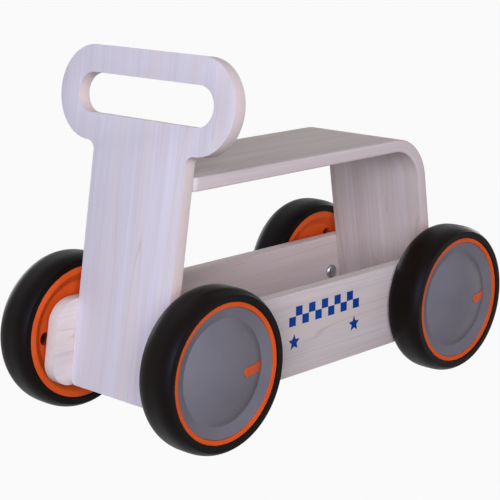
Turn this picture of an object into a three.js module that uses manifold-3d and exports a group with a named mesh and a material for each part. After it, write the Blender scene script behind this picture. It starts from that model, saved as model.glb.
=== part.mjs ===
// A wooden baby walker. A leaning handle board and a bent seat arch stand between two side boards. The side
// boards also hold a box floor, and at each corner an axle bolt on which a capped wheel turns freely.
import * as THREE from 'three';
import { mergeVertices } from 'three/addons/utils/BufferGeometryUtils.js';
import Module from 'manifold-3d';

const wasm = await Module();
wasm.setup();

// Driving dimensions, in millimetres, and angles in degrees. X runs from the handle to the arch, Y to the
// left and Z up. The origin is on the floor, under the middle of the walker.

// Fits
const FIT_GAP = 0.3; // between pieces that are fixed to each other
const RUNNING_GAP = 0.05; // between an axle's corners and the bushes that turn on it

// The two panels that stand between the side boards: the handle board and the wall of the seat arch
const PANEL_SPREAD = 499; // between their outer faces, measured at the floor
const PANEL_LEAN = 9; // degrees, each towards the other
const PANEL_WIDTH = 142;
const PANEL_FOOT = 42.4; // from the floor to their lower ends, along the panel
const EDGE_EASE = 1.6; // chamfer along their edges
const END_EASE = 1; // how much rounder the edges across the ends of the bent strip are

// Handle board
const HANDLE_THICKNESS = 15;
const HANDLE_RISE = 77.6; // from the seat's level to the middle of the grip slot, along the board
const HANDLE_FOOT_CORNER = 8;
const NECK_FILLET = 11;
const HEAD_RADIUS = 52.2;
const SLOT_RADIUS = 21.9;

// Seat arch, one bent strip
const SEAT_TOP = 286;
const SEAT_THICKNESS = 15;
const SEAT_BEND = 60; // outer radius
const SEAT_CORNER = 9; // rounding of the seat's two corners at the handle board

// Side boards
const SIDE_THICKNESS = 15;
const SIDE_EASE = 2.4; // chamfer along their edges
const SIDE_HEIGHT = 97.2;
const SIDE_CLEARANCE = 40.5; // from the floor to their lower edges
const SIDE_OVERHANG = 27.8; // how far they reach past the panels' outer faces
const SIDE_TOP_CORNER = 30;
const SIDE_LOW_CORNER = 25;

// Box floor
const FLOOR_RISE = 10.5; // from the side boards' lower edges to its underside
const FLOOR_THICKNESS = 9;
const GROOVE_DEPTH = 6;

// Wood screws and dowels
const SCREW_LENGTH = 45;
const SCREW_RADIUS = 2.1;
const SCREW_TIP = 6;
const SCREW_HEAD_RADIUS = 4.4;
const SCREW_HEAD_HEIGHT = 3;
const SCREW_HEAD_RIM = 0.6;
const SCREW_INSET = 26; // from the side boards' long edges
const DOWEL_RADIUS = 4;
const DOWEL_IN_HANDLE = 10;
const DOWEL_IN_SEAT = 20;
const DOWEL_PITCH = 45;
const DOWEL_COUNT = 3;

// Axles, each a round-headed bolt through a side board
const AXLE_RADIUS = 5;
const AXLE_HEAD_RADIUS = 9;
const AXLE_HEAD_HEIGHT = 4;
const AXLE_HEAD_FALL = 2.5; // chamfer around the head
const AXLE_GAP = 11.36; // between an axle's shank and the panel behind it
const WASHER_RADIUS = 10;
const WASHER_THICKNESS = 2;
const RETAINER_RADIUS = 7.5;
const RETAINER_FLANGE_RADIUS = 10.5;
const RETAINER_FLANGE = 1.6;
const RETAINER_DEPTH = 7; // how far the axle reaches into it
const RETAINER_WALL = 2.2;
const RETAINER_CHAMFER = 2;

// Tyre, outwards from the rim's edge
const TYRE_WIDTH = 42.5;
const WHEEL_GAP = 6; // between a side board and the wheel
const SIDEWALL_HEIGHT = 8.1; // from the rim's edge to the crease beside the tread
const CREASE_PROUD = 1.1; // how far the crease stands proud of the rim's edge
const CROWN_HEIGHT = 5.7; // from the crease to the top of the tread
const TREAD_POWER = 3.5; // how full the tread's section is: 2 is a plain arch, more has rounder shoulders
const TYRE_LIP = 1; // how far the sidewall stands proud of the rim's edge

// Rim, inwards from its edge
const RIM_RADIUS = 76.2;
const LIP_WIDTH = 5.2; // ring that shows around the hub cap
const LIP_THICKNESS = 3.3;
const LIP_FALL = 0.6; // how far its face falls towards the hub cap
const LIP_HEIGHT = 2.6; // above the barrel that carries the tyre
const FLANGE_WIDTH = 7.5; // ring that shows on the inner side
const DISH_DEPTH = 7.75;
const DISH_DRAFT = 10;
const WEB_THICKNESS = 4;
const POCKET_RADIUS = 7.8; // round blind pockets in the web
const POCKET_CIRCLE = 49;
const POCKET_COUNT = 3;
const POCKET_DEPTH = 10;
const POCKET_WALL = 2;
const BOSS_RADIUS = 13;
const BOSS_LENGTH = 31;
const BUSH_RADIUS = 8;
const BUSH_LENGTH = 12;
const BUSH_FLANGE_RADIUS = 10.5;
const BUSH_FLANGE = 1.6;

// Hub cap, with a marker let into its dome
const CAP_BAND = 12.4; // conical band between the rim and the dome
const CAP_RECESS = 6.8; // from the rim's outer face down to the dome's edge
const CAP_SINK = 0.7; // from the lip's inner edge down to the band's edge
const CAP_WALL = 2.6;
const CAP_SKIRT = 2.4;
const DOME_RISE = 16.5;
const MARKER_WIDTH = 10.4;
const MARKER_INNER = 17; // from the axle to its round end
const MARKER_EDGE = 1.8; // from its square end to the dome's edge
const MARKER_CORNER = 1.6; // rounding of its square end
const MARKER_PROUD = 0.8;
const MARKER_DEPTH = 1.5;
const MARKER_TURN = -3; // degrees off the horizontal

// Fineness of the round faces
const WHEEL_SIDES = 24;
const SMALL_SIDES = 12;
const SCREW_SIDES = 8;
const ARC_STEP = 10; // degrees
const TREAD_STEPS = 7;
const DOME_STEPS = 4;
const MERGE_DISTANCE = 1e-4;
const CUT_MARGIN = 2; // how far a cutting shape reaches past what it cuts

// Places worked out from the driving dimensions
const lean = THREE.MathUtils.degToRad(PANEL_LEAN);
const sinLean = Math.sin(lean);
const cosLean = Math.cos(lean);
const tanLean = Math.tan(lean);
const tyreRadius = RIM_RADIUS + SIDEWALL_HEIGHT + CROWN_HEIGHT;
const axleHeight = tyreRadius;
const sideInner = PANEL_WIDTH / 2 + FIT_GAP;
const sideOuter = sideInner + SIDE_THICKNESS;
const sideTop = SIDE_CLEARANCE + SIDE_HEIGHT;
const wheelHalf = TYRE_WIDTH / 2;
const wheelMiddle = sideOuter + WHEEL_GAP + wheelHalf;
const seatUnder = SEAT_TOP - SEAT_THICKNESS;
const headMiddle = SEAT_TOP / cosLean + HANDLE_RISE;
const headHalf = PANEL_WIDTH / 2 + NECK_FILLET + HEAD_RADIUS;
const slotHalf = PANEL_WIDTH / 2 + NECK_FILLET + SLOT_RADIUS;

// Distance of a panel's inner face from the middle of the walker, at a height above the floor.
function panelInside(height, thickness) {
  return PANEL_SPREAD / 2 - height * tanLean - thickness / cosLean;
}

const rearAxleX = -(panelInside(axleHeight, HANDLE_THICKNESS) - AXLE_GAP - AXLE_RADIUS);
const frontAxleX = panelInside(axleHeight, SEAT_THICKNESS) - AXLE_GAP - AXLE_RADIUS;

// Stations along a wheel's axis, outwards from the middle of the wheel
const washerStart = -wheelHalf - WHEEL_GAP + FIT_GAP;
const innerBushStart = washerStart + WASHER_THICKNESS + FIT_GAP;
const bossStart = innerBushStart + BUSH_FLANGE + FIT_GAP;
const bossEnd = bossStart + BOSS_LENGTH;
const outerBushEnd = bossEnd + FIT_GAP + BUSH_FLANGE;
const retainerStart = outerBushEnd + FIT_GAP;
const axleEnd = retainerStart + RETAINER_DEPTH;
const webInner = -wheelHalf + DISH_DEPTH;
const webOuter = webInner + WEB_THICKNESS;

// Radii of the wheel
const rimBore = RIM_RADIUS - LIP_WIDTH;
const barrelRadius = RIM_RADIUS - LIP_HEIGHT;
const capRadius = rimBore - FIT_GAP;
const domeEdge = capRadius - CAP_BAND;
const domeFoot = wheelHalf - CAP_RECESS;
const domeRadius = (domeEdge ** 2 + DOME_RISE ** 2) / (2 * DOME_RISE);
const domeCentre = domeFoot + DOME_RISE - domeRadius;
const domeReach = Math.asin(domeEdge / domeRadius);

// Finishes
const BIRCH = { color: 0xe4d8d4, roughness: 0.6, metalness: 0 };
const BEECH = { color: 0xd8b88e, roughness: 0.7, metalness: 0 };
const TYRE_BLACK = { color: 0x1b1a1c, roughness: 0.45, metalness: 0 };
const RIM_ORANGE = { color: 0xe05a22, roughness: 0.4, metalness: 0 };
const CAP_GREY = { color: 0x6d6d78, roughness: 0.45, metalness: 0 };
const NYLON = { color: 0xe9e5dc, roughness: 0.5, metalness: 0 };
const STEEL = { color: 0xb9bbc0, roughness: 0.35, metalness: 1 };

// A closed solid from a geometry, with its shared corners joined and its flat slivers dropped.
function solid(geometry) {
  const bare = geometry.clone();
  bare.deleteAttribute('normal');
  bare.deleteAttribute('uv');
  const joined = mergeVertices(bare, MERGE_DISTANCE);
  const index = joined.index.array;
  const triVerts = [];
  for (let i = 0; i < index.length; i += 3) {
    const corners = index.slice(i, i + 3);
    if (new Set(corners).size === corners.length) {
      triVerts.push(...corners);
    }
  }
  const mesh = new wasm.Mesh({
    numProp: 3,
    vertProperties: Float32Array.from(joined.attributes.position.array),
    triVerts: Uint32Array.from(triVerts),
  });
  return new wasm.Manifold(mesh);
}

// The surface of a solid, as a geometry with flat faces.
function surface(body) {
  const { vertProperties, triVerts } = body.getMesh();
  const geometry = new THREE.BufferGeometry();
  geometry.setAttribute('position', new THREE.BufferAttribute(Float32Array.from(vertProperties), 3));
  geometry.setIndex(new THREE.BufferAttribute(Uint32Array.from(triVerts), 1));
  geometry.computeVertexNormals();
  return geometry;
}

// A profile of [radius, station] pairs turned about the Y axis. The flats touch the stated radii, and one
// flat faces each way along X and Z.
function turned(profile, sides) {
  const flats = 1 / Math.cos(Math.PI / sides);
  const points = profile.map(([radius, station]) => new THREE.Vector2(radius * flats, station));
  return new THREE.LatheGeometry(points, sides, Math.PI / sides);
}

// The same for a ring, whose profile closes on itself.
function turnedRing(profile, sides) {
  return turned([...profile, profile[0]], sides);
}

// A plain round bar along Y.
function bar(radius, start, end, sides) {
  return turned([[0, start], [radius, start], [radius, end], [0, end]], sides);
}

// Points of an outline through corners given as [x, y, radius], each rounded by a tangent arc.
function roundedOutline(corners) {
  const points = [];
  const add = (point) => {
    if (points.every((other) => other.distanceTo(point) > MERGE_DISTANCE)) {
      points.push(point);
    }
  };
  corners.forEach(([x, y, radius], i) => {
    const corner = new THREE.Vector2(x, y);
    const [backX, backY] = corners.at(i - 1);
    const [aheadX, aheadY] = corners[(i + 1) % corners.length];
    const back = new THREE.Vector2(backX, backY).sub(corner).normalize();
    const ahead = new THREE.Vector2(aheadX, aheadY).sub(corner).normalize();
    const half = Math.acos(back.dot(ahead)) / 2;
    const centre = back.clone().add(ahead).setLength(radius / Math.sin(half)).add(corner);
    const spoke = back.clone().multiplyScalar(radius / Math.tan(half)).add(corner).sub(centre);
    const sweep = (Math.PI - 2 * half) * Math.sign(ahead.cross(back));
    const steps = Math.max(1, Math.ceil(Math.abs(sweep) / THREE.MathUtils.degToRad(ARC_STEP)));
    for (let k = 0; k <= steps; k += 1) {
      add(spoke.clone().rotateAround(new THREE.Vector2(), (sweep * k) / steps).add(centre));
    }
  });
  return points;
}

// A board of the given outline and thickness, from Z = 0 up, with eased edges.
function board(outline, thickness, openings = [], ease = EDGE_EASE) {
  const shape = new THREE.Shape(outline);
  shape.holes = openings.map((points) => new THREE.Path(points));
  const geometry = new THREE.ExtrudeGeometry(shape, {
    depth: thickness - 2 * ease,
    bevelThickness: ease,
    bevelSize: ease,
    bevelOffset: -ease,
    bevelSegments: 1,
  });
  return geometry.translate(0, 0, ease);
}

// A piece in the frame of its holder, less cutting shapes that are given in the walker's frame.
function cut(geometry, holder, cutters) {
  holder.updateWorldMatrix(true, false);
  const toHolder = holder.matrixWorld.clone().invert();
  const body = cutters.reduce(
    (rest, cutter) => rest.subtract(solid(cutter.clone().applyMatrix4(toHolder))),
    solid(geometry),
  );
  return surface(body);
}

// Adds a named piece with a finish of its own to a group.
function addPiece(group, name, geometry, finish) {
  const piece = new THREE.Mesh(geometry, new THREE.MeshStandardMaterial(finish));
  piece.name = name;
  group.add(piece);
  return piece;
}

const walker = new THREE.Group();
const SIDES = [
  { name: 'left', sign: 1 },
  { name: 'right', sign: -1 },
];
const ENDS = [
  { name: 'rear', axleX: rearAxleX, panel: 'handle', sign: -1, thickness: HANDLE_THICKNESS },
  { name: 'front', axleX: frontAxleX, panel: 'arch', sign: 1, thickness: SEAT_THICKNESS },
];

// Turns what is built along +Y to face outwards on one side of the walker.
function outwards(object, sign) {
  object.rotation.x = sign > 0 ? 0 : Math.PI;
  return object;
}

// Screws through the side boards into the edges of the two panels
function screwProfile(gap, headEnd) {
  return [
    [0, -SCREW_LENGTH - gap],
    [SCREW_RADIUS + gap, SCREW_TIP - SCREW_LENGTH - gap],
    [SCREW_RADIUS + gap, -SCREW_HEAD_HEIGHT - gap],
    [SCREW_HEAD_RADIUS + gap, -SCREW_HEAD_RIM - gap],
    [SCREW_HEAD_RADIUS + gap, headEnd],
    [0, headEnd],
  ];
}

const screw = surface(solid(turned(screwProfile(0, 0), SCREW_SIDES)));
const screwHole = turned(screwProfile(FIT_GAP, CUT_MARGIN), SCREW_SIDES);
const screwCuts = [];
for (const end of ENDS) {
  [SIDE_CLEARANCE + SCREW_INSET, sideTop - SCREW_INSET].forEach((height, level) => {
    for (const side of SIDES) {
      const seat = outwards(new THREE.Group(), side.sign);
      const inset = panelInside(height, end.thickness / 2);
      seat.position.set(end.sign * inset, side.sign * (sideOuter - FIT_GAP), height);
      addPiece(seat, `${end.panel}_screw_${side.name}_${['low', 'high'][level]}`, screw, STEEL);
      seat.updateMatrixWorld();
      screwCuts.push(screwHole.clone().applyMatrix4(seat.matrixWorld));
      walker.add(seat);
    }
  });
}

// Dowels between the handle board and the seat's end
const dowelHeight = SEAT_TOP - SEAT_THICKNESS / 2;
const dowelStart = -panelInside(dowelHeight, HANDLE_THICKNESS) - DOWEL_IN_HANDLE;
const dowelEnd = dowelStart + DOWEL_IN_HANDLE + DOWEL_IN_SEAT;
const dowel = surface(solid(bar(DOWEL_RADIUS, dowelStart, dowelEnd, SMALL_SIDES)));
const dowelHole = bar(DOWEL_RADIUS + FIT_GAP, dowelStart - FIT_GAP, dowelEnd + FIT_GAP, SMALL_SIDES);
const dowelCuts = [];
for (let k = 0; k < DOWEL_COUNT; k += 1) {
  const seat = new THREE.Group();
  seat.rotation.z = -Math.PI / 2;
  seat.position.set(0, (k - (DOWEL_COUNT - 1) / 2) * DOWEL_PITCH, dowelHeight);
  addPiece(seat, `seat_dowel_${k + 1}`, dowel, BEECH);
  seat.updateMatrixWorld();
  dowelCuts.push(dowelHole.clone().applyMatrix4(seat.matrixWorld));
  walker.add(seat);
}

// Handle board: a neck with a wide round-ended head, and a grip slot that follows the head's outline
const handleLean = new THREE.Group();
handleLean.position.x = -PANEL_SPREAD / 2;
handleLean.rotation.y = lean;
const handleHolder = new THREE.Group();
handleHolder.rotation.set(Math.PI / 2, 0, Math.PI / 2, 'ZYX');
handleLean.add(handleHolder);
walker.add(handleLean);
const neckHalf = PANEL_WIDTH / 2;
const handleOutline = roundedOutline([
  [-neckHalf, PANEL_FOOT, HANDLE_FOOT_CORNER],
  [neckHalf, PANEL_FOOT, HANDLE_FOOT_CORNER],
  [neckHalf, headMiddle - HEAD_RADIUS, NECK_FILLET],
  [headHalf, headMiddle - HEAD_RADIUS, HEAD_RADIUS],
  [headHalf, headMiddle + HEAD_RADIUS, HEAD_RADIUS],
  [-headHalf, headMiddle + HEAD_RADIUS, HEAD_RADIUS],
  [-headHalf, headMiddle - HEAD_RADIUS, HEAD_RADIUS],
  [-neckHalf, headMiddle - HEAD_RADIUS, NECK_FILLET],
]);
const slotOutline = roundedOutline([
  [-slotHalf, headMiddle - SLOT_RADIUS, SLOT_RADIUS],
  [slotHalf, headMiddle - SLOT_RADIUS, SLOT_RADIUS],
  [slotHalf, headMiddle + SLOT_RADIUS, SLOT_RADIUS],
  [-slotHalf, headMiddle + SLOT_RADIUS, SLOT_RADIUS],
]);
const handleBoard = board(handleOutline, HANDLE_THICKNESS, [slotOutline]);
addPiece(handleHolder, 'handle_board', cut(handleBoard, handleHolder, [...screwCuts, ...dowelCuts]), BIRCH);

// Seat arch: the seat, a round bend and the leaning wall, with the seat's end cut to the handle board's lean
const archHolder = new THREE.Group();
archHolder.rotation.x = Math.PI / 2;
walker.add(archHolder);

// A point of the arch wall, from its foot up along the panel and in from its outer face.
function wallPoint(up, deep) {
  return [PANEL_SPREAD / 2 - up * sinLean - deep * cosLean, up * cosLean - deep * sinLean];
}

// Where the lines of the seat and the wall meet, at a depth in from the outer face.
function bendCorner(deep) {
  const height = SEAT_TOP - deep;
  return [panelInside(height, deep), height];
}

const seatGap = FIT_GAP / cosLean;
const endRound = EDGE_EASE + END_EASE;
const archOutline = roundedOutline([
  [...wallPoint(PANEL_FOOT, 0), endRound],
  [...bendCorner(0), SEAT_BEND],
  [seatGap - panelInside(SEAT_TOP, HANDLE_THICKNESS), SEAT_TOP, endRound],
  [seatGap - panelInside(seatUnder, HANDLE_THICKNESS), seatUnder, endRound],
  [...bendCorner(SEAT_THICKNESS), SEAT_BEND - SEAT_THICKNESS],
  [...wallPoint(PANEL_FOOT, SEAT_THICKNESS), endRound],
]);
const archStrip = board(archOutline, PANEL_WIDTH).translate(0, 0, -PANEL_WIDTH / 2);

// What a round corner of the seat takes away, on one side, beside the handle board.
function seatCornerCut(sign) {
  const centreX = seatGap - panelInside(seatUnder, HANDLE_THICKNESS) + SEAT_CORNER;
  const centreY = sign * (PANEL_WIDTH / 2 - SEAT_CORNER);
  const centreZ = SEAT_TOP - SEAT_THICKNESS / 2;
  const reach = SEAT_CORNER + CUT_MARGIN;
  const block = new THREE.BoxGeometry(reach, reach, SEAT_THICKNESS + CUT_MARGIN);
  block.translate(centreX - reach / 2, centreY + (sign * reach) / 2, centreZ);
  const round = bar(SEAT_CORNER, -SEAT_THICKNESS, SEAT_THICKNESS, WHEEL_SIDES);
  round.rotateX(Math.PI / 2).translate(centreX, centreY, centreZ);
  return surface(solid(block).subtract(solid(round)));
}

const archCuts = [...screwCuts, ...dowelCuts, seatCornerCut(1), seatCornerCut(-1)];
addPiece(archHolder, 'seat_arch', cut(archStrip, archHolder, archCuts), BIRCH);

// Box floor, held in grooves of the side boards
const floorLow = SIDE_CLEARANCE + FLOOR_RISE;
const floorRear = FIT_GAP - panelInside(floorLow + FLOOR_THICKNESS, HANDLE_THICKNESS);
const floorFront = panelInside(floorLow + FLOOR_THICKNESS, SEAT_THICKNESS) - FIT_GAP;
const floorHalf = sideInner + GROOVE_DEPTH - FIT_GAP;

// The floor's block, grown by a gap all round.
function floorBlock(gap) {
  const block = new THREE.BoxGeometry(
    floorFront - floorRear + 2 * gap,
    2 * (floorHalf + gap),
    FLOOR_THICKNESS + 2 * gap,
  );
  return block.translate((floorFront + floorRear) / 2, 0, floorLow + FLOOR_THICKNESS / 2);
}

addPiece(walker, 'box_floor', surface(solid(floorBlock(0))), BIRCH);

// Side boards, with leaning ends, a groove for the floor, and holes for the axles and screws
const sideEndLow = PANEL_SPREAD / 2 + SIDE_OVERHANG - SIDE_CLEARANCE * tanLean;
const sideEndTop = PANEL_SPREAD / 2 + SIDE_OVERHANG - sideTop * tanLean;
const sideOutline = roundedOutline([
  [-sideEndLow, SIDE_CLEARANCE, SIDE_LOW_CORNER],
  [sideEndLow, SIDE_CLEARANCE, SIDE_LOW_CORNER],
  [sideEndTop, sideTop, SIDE_TOP_CORNER],
  [-sideEndTop, sideTop, SIDE_TOP_CORNER],
]);
const axleHole = bar(AXLE_RADIUS + FIT_GAP, -sideOuter - CUT_MARGIN, sideOuter + CUT_MARGIN, SMALL_SIDES);
const axleCuts = ENDS.map((end) => axleHole.clone().translate(end.axleX, 0, axleHeight));
for (const side of SIDES) {
  const holder = new THREE.Group();
  holder.position.y = side.sign * sideInner;
  holder.rotation.set(Math.PI / 2, 0, side.sign > 0 ? Math.PI : 0, 'ZYX');
  walker.add(holder);
  const cuts = [...screwCuts, ...axleCuts, floorBlock(FIT_GAP)];
  const blank = board(sideOutline, SIDE_THICKNESS, [], SIDE_EASE);
  addPiece(holder, `side_board_${side.name}`, cut(blank, holder, cuts), BIRCH);
}

// Tyre: it sits on the barrel between the rim's two lips, with flat sidewalls and a full tread
const treadHalf = wheelHalf + CREASE_PROUD;
const treadArc = [];
for (let k = 0; k <= TREAD_STEPS; k += 1) {
  const share = Math.sin((Math.PI / 2) * ((2 * k) / TREAD_STEPS - 1));
  const crownDrop = CROWN_HEIGHT * Math.abs(share) ** TREAD_POWER;
  treadArc.push([tyreRadius - crownDrop, treadHalf * share]);
}
const crownFlat = tyreRadius - Math.max(...treadArc.map(([radius]) => radius));
const channelHalf = wheelHalf - LIP_THICKNESS - FIT_GAP;
const tyre = surface(solid(turnedRing([
  [barrelRadius + FIT_GAP, -channelHalf],
  [RIM_RADIUS + FIT_GAP, -channelHalf],
  [RIM_RADIUS + FIT_GAP, -wheelHalf - TYRE_LIP],
  ...treadArc.map(([radius, station]) => [radius + crownFlat, station]),
  [RIM_RADIUS + FIT_GAP, wheelHalf + TYRE_LIP],
  [RIM_RADIUS + FIT_GAP, channelHalf],
  [barrelRadius + FIT_GAP, channelHalf],
], WHEEL_SIDES)));

// Rim: a barrel with two lips, a dished web with round pockets, and a boss for the bushes
const bushSeat = BUSH_RADIUS + FIT_GAP;
const rimRing = turnedRing([
  [bushSeat, bossStart],
  [BOSS_RADIUS, bossStart],
  [BOSS_RADIUS, webInner],
  [RIM_RADIUS - FLANGE_WIDTH - DISH_DRAFT, webInner],
  [RIM_RADIUS - FLANGE_WIDTH, -wheelHalf],
  [RIM_RADIUS, -wheelHalf],
  [RIM_RADIUS, LIP_THICKNESS - wheelHalf],
  [barrelRadius, LIP_THICKNESS - wheelHalf],
  [barrelRadius, wheelHalf - LIP_THICKNESS],
  [RIM_RADIUS, wheelHalf - LIP_THICKNESS],
  [RIM_RADIUS, wheelHalf],
  [rimBore, wheelHalf - LIP_FALL],
  [rimBore, webOuter],
  [BOSS_RADIUS, webOuter],
  [BOSS_RADIUS, bossEnd],
  [bushSeat, bossEnd],
], WHEEL_SIDES);
const pocketEnd = webInner + POCKET_DEPTH;
const pocketCup = bar(POCKET_RADIUS + POCKET_WALL, webInner + FIT_GAP, pocketEnd + POCKET_WALL, SMALL_SIDES);
const pocketHole = bar(POCKET_RADIUS, webInner - CUT_MARGIN, pocketEnd, SMALL_SIDES);
let rimBody = solid(rimRing);
for (let k = 0; k < POCKET_COUNT; k += 1) {
  const turn = Math.PI + (2 * Math.PI * k) / POCKET_COUNT;
  const inWeb = (shape) => solid(shape.clone().translate(POCKET_CIRCLE, 0, 0).rotateY(turn));
  rimBody = rimBody.add(inWeb(pocketCup)).subtract(inWeb(pocketHole));
}
const rim = surface(rimBody);

// Points of the dome from its edge to the axis, moved along the dome's normal.
function domeArc(offset) {
  const points = [];
  for (let k = DOME_STEPS; k >= 0; k -= 1) {
    const angle = (domeReach * k) / DOME_STEPS;
    const radius = domeRadius + offset;
    points.push([radius * Math.sin(angle), domeCentre + radius * Math.cos(angle)]);
  }
  return points;
}

// A slice of the dome between two levels, cut to the marker's outline grown by a gap.
function markerSlice(low, high, gap) {
  const slice = turned([...domeArc(low).reverse(), ...domeArc(high)], WHEEL_SIDES);
  const half = MARKER_WIDTH / 2 + gap;
  const outer = domeEdge - MARKER_EDGE + gap;
  const outline = roundedOutline([
    [MARKER_INNER - gap, -half, half],
    [outer, -half, MARKER_CORNER],
    [outer, half, MARKER_CORNER],
    [MARKER_INNER - gap, half, half],
  ]);
  const reach = domeFoot + DOME_RISE + high + CUT_MARGIN;
  const prism = new THREE.ExtrudeGeometry(new THREE.Shape(outline), { depth: reach, bevelEnabled: false });
  prism.rotateX(-Math.PI / 2).rotateY(THREE.MathUtils.degToRad(MARKER_TURN));
  return solid(slice).intersect(solid(prism));
}

// Hub cap: a skirt inside the rim, a conical band and a dome, with a pocket for the marker
const capTop = wheelHalf - LIP_FALL - CAP_SINK;
const bandSlope = Math.atan2(capTop - domeFoot, CAP_BAND);
const bandDrop = CAP_WALL / Math.cos(bandSlope);
const skirtTop = capTop - CAP_SKIRT * Math.tan(bandSlope) - bandDrop;
const capShell = solid(turned([
  ...domeArc(-CAP_WALL).reverse(),
  [capRadius - CAP_SKIRT, skirtTop],
  [capRadius - CAP_SKIRT, webOuter + FIT_GAP],
  [capRadius, webOuter + FIT_GAP],
  [capRadius, capTop],
  ...domeArc(0),
], WHEEL_SIDES));
const cap = surface(capShell.subtract(markerSlice(-MARKER_DEPTH, MARKER_PROUD + CUT_MARGIN, FIT_GAP)));
const marker = surface(markerSlice(FIT_GAP - MARKER_DEPTH, MARKER_PROUD, 0));

// Flanged bush, with its flange at the origin and its barrel along +Y
const axleCorner = AXLE_RADIUS / Math.cos(Math.PI / SMALL_SIDES);
const bushBore = axleCorner + RUNNING_GAP;
const bush = surface(solid(turnedRing([
  [bushBore, 0],
  [BUSH_FLANGE_RADIUS, 0],
  [BUSH_FLANGE_RADIUS, BUSH_FLANGE],
  [BUSH_RADIUS, BUSH_FLANGE],
  [BUSH_RADIUS, BUSH_FLANGE + BUSH_LENGTH],
  [bushBore, BUSH_FLANGE + BUSH_LENGTH],
], SMALL_SIDES)));

// Spacer washer between a side board and the wheel's inner bush
const washer = surface(solid(turnedRing([
  [AXLE_RADIUS + FIT_GAP, washerStart],
  [WASHER_RADIUS, washerStart],
  [WASHER_RADIUS, washerStart + WASHER_THICKNESS],
  [AXLE_RADIUS + FIT_GAP, washerStart + WASHER_THICKNESS],
], SMALL_SIDES)));

// Push-on retainer, a capped nut over the axle's end
const retainerFloor = axleEnd + FIT_GAP;
const retainerTop = retainerFloor + RETAINER_WALL;
const retainer = surface(solid(turned([
  [0, retainerFloor],
  [AXLE_RADIUS + FIT_GAP, retainerFloor],
  [AXLE_RADIUS + FIT_GAP, retainerStart],
  [RETAINER_FLANGE_RADIUS, retainerStart],
  [RETAINER_FLANGE_RADIUS, retainerStart + RETAINER_FLANGE],
  [RETAINER_RADIUS, retainerStart + RETAINER_FLANGE],
  [RETAINER_RADIUS, retainerTop - RETAINER_CHAMFER],
  [RETAINER_RADIUS - RETAINER_CHAMFER, retainerTop],
  [0, retainerTop],
], SMALL_SIDES)));

// Axle bolt, with its head against the inner face of a side board
const headSeat = sideInner - FIT_GAP - wheelMiddle;
const headTop = headSeat - AXLE_HEAD_HEIGHT;
const axleBolt = surface(solid(turned([
  [0, headTop],
  [AXLE_HEAD_RADIUS - AXLE_HEAD_FALL, headTop],
  [AXLE_HEAD_RADIUS, headTop + AXLE_HEAD_FALL],
  [AXLE_HEAD_RADIUS, headSeat],
  [AXLE_RADIUS, headSeat],
  [AXLE_RADIUS, axleEnd],
  [0, axleEnd],
], SMALL_SIDES)));

// Wheels on their axle bolts
for (const end of ENDS) {
  for (const side of SIDES) {
    const wheel = outwards(new THREE.Group(), side.sign);
    wheel.position.set(end.axleX, side.sign * wheelMiddle, axleHeight);
    const corner = `${end.name}_${side.name}`;
    addPiece(wheel, `${corner}_tyre`, tyre, TYRE_BLACK);
    addPiece(wheel, `${corner}_rim`, rim, RIM_ORANGE);
    addPiece(wheel, `${corner}_hub_cap`, cap, CAP_GREY);
    addPiece(wheel, `${corner}_cap_marker`, marker, RIM_ORANGE);
    addPiece(wheel, `${corner}_inner_bush`, bush, NYLON).position.y = innerBushStart;
    const outerBush = outwards(addPiece(wheel, `${corner}_outer_bush`, bush, NYLON), -1);
    outerBush.position.y = outerBushEnd;
    addPiece(wheel, `${corner}_axle_bolt`, axleBolt, STEEL);
    addPiece(wheel, `${corner}_spacer_washer`, washer, STEEL);
    addPiece(wheel, `${corner}_axle_retainer`, retainer, STEEL);
    walker.add(wheel);
  }
}

export default walker;
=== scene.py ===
"""Looks of a wooden baby walker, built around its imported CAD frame.

The boards, wheels and axles are modelled here with eased edges and smooth round faces, and stand for the CAD
nodes of the same shape. Lengths are in metres and the frame is the part's: X from the handle to the arch, Y left,
Z up.
"""

import logging
import math
from dataclasses import dataclass
from enum import Enum
from typing import Callable, Dict, List, Optional, Sequence, Tuple, Union

import bmesh
import bpy
from mathutils import Matrix, Vector


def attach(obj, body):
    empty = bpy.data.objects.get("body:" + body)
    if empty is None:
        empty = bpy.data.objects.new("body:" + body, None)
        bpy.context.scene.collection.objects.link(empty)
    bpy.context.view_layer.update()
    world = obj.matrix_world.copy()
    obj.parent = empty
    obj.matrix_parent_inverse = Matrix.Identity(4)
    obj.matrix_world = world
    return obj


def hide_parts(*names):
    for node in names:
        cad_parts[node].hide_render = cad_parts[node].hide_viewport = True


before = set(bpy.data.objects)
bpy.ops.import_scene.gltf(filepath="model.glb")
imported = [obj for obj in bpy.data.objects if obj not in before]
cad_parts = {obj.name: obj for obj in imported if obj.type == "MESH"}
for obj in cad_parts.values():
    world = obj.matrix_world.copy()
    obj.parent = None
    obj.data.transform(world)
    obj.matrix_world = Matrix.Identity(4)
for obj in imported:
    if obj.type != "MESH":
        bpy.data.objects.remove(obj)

LOG = logging.getLogger("baby_walker")
MM = 0.001
MERGE = 2e-6
FULL_TURN = 360.0
GRAIN = "grain"
# Mesh attribute that marks where painted shade darkens the inside of the rim's pockets.
POCKET_SHADE = "pocket_shade"

Colour = Tuple[float, float, float]
Span = Tuple[float, float]
Profile = List[Tuple[float, float]]
Corners = Sequence[Tuple[float, float, float]]
Piece = bpy.types.Object
Material = bpy.types.Material
Socket = bpy.types.NodeSocket
Value = Union[Socket, Colour, float]


class Slot(Enum):
    """Material slots of the record."""

    BIRCH = "birch"
    DOWEL = "dowel_wood"
    TYRE = "tyre_black"
    ORANGE = "rim_orange"
    GREY = "cap_grey"
    NYLON = "nylon"
    STEEL = "steel"


class Operation(Enum):
    """What a closed tool does to a piece."""

    CUT = "DIFFERENCE"
    JOIN = "UNION"
    TRIM = "INTERSECT"


class Named(Enum):
    """Options whose lower-case names are part of the CAD nodes' names."""

    @property
    def word(self) -> str:
        """Lower-case name, as the CAD nodes spell it."""
        return self.name.lower()


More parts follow.
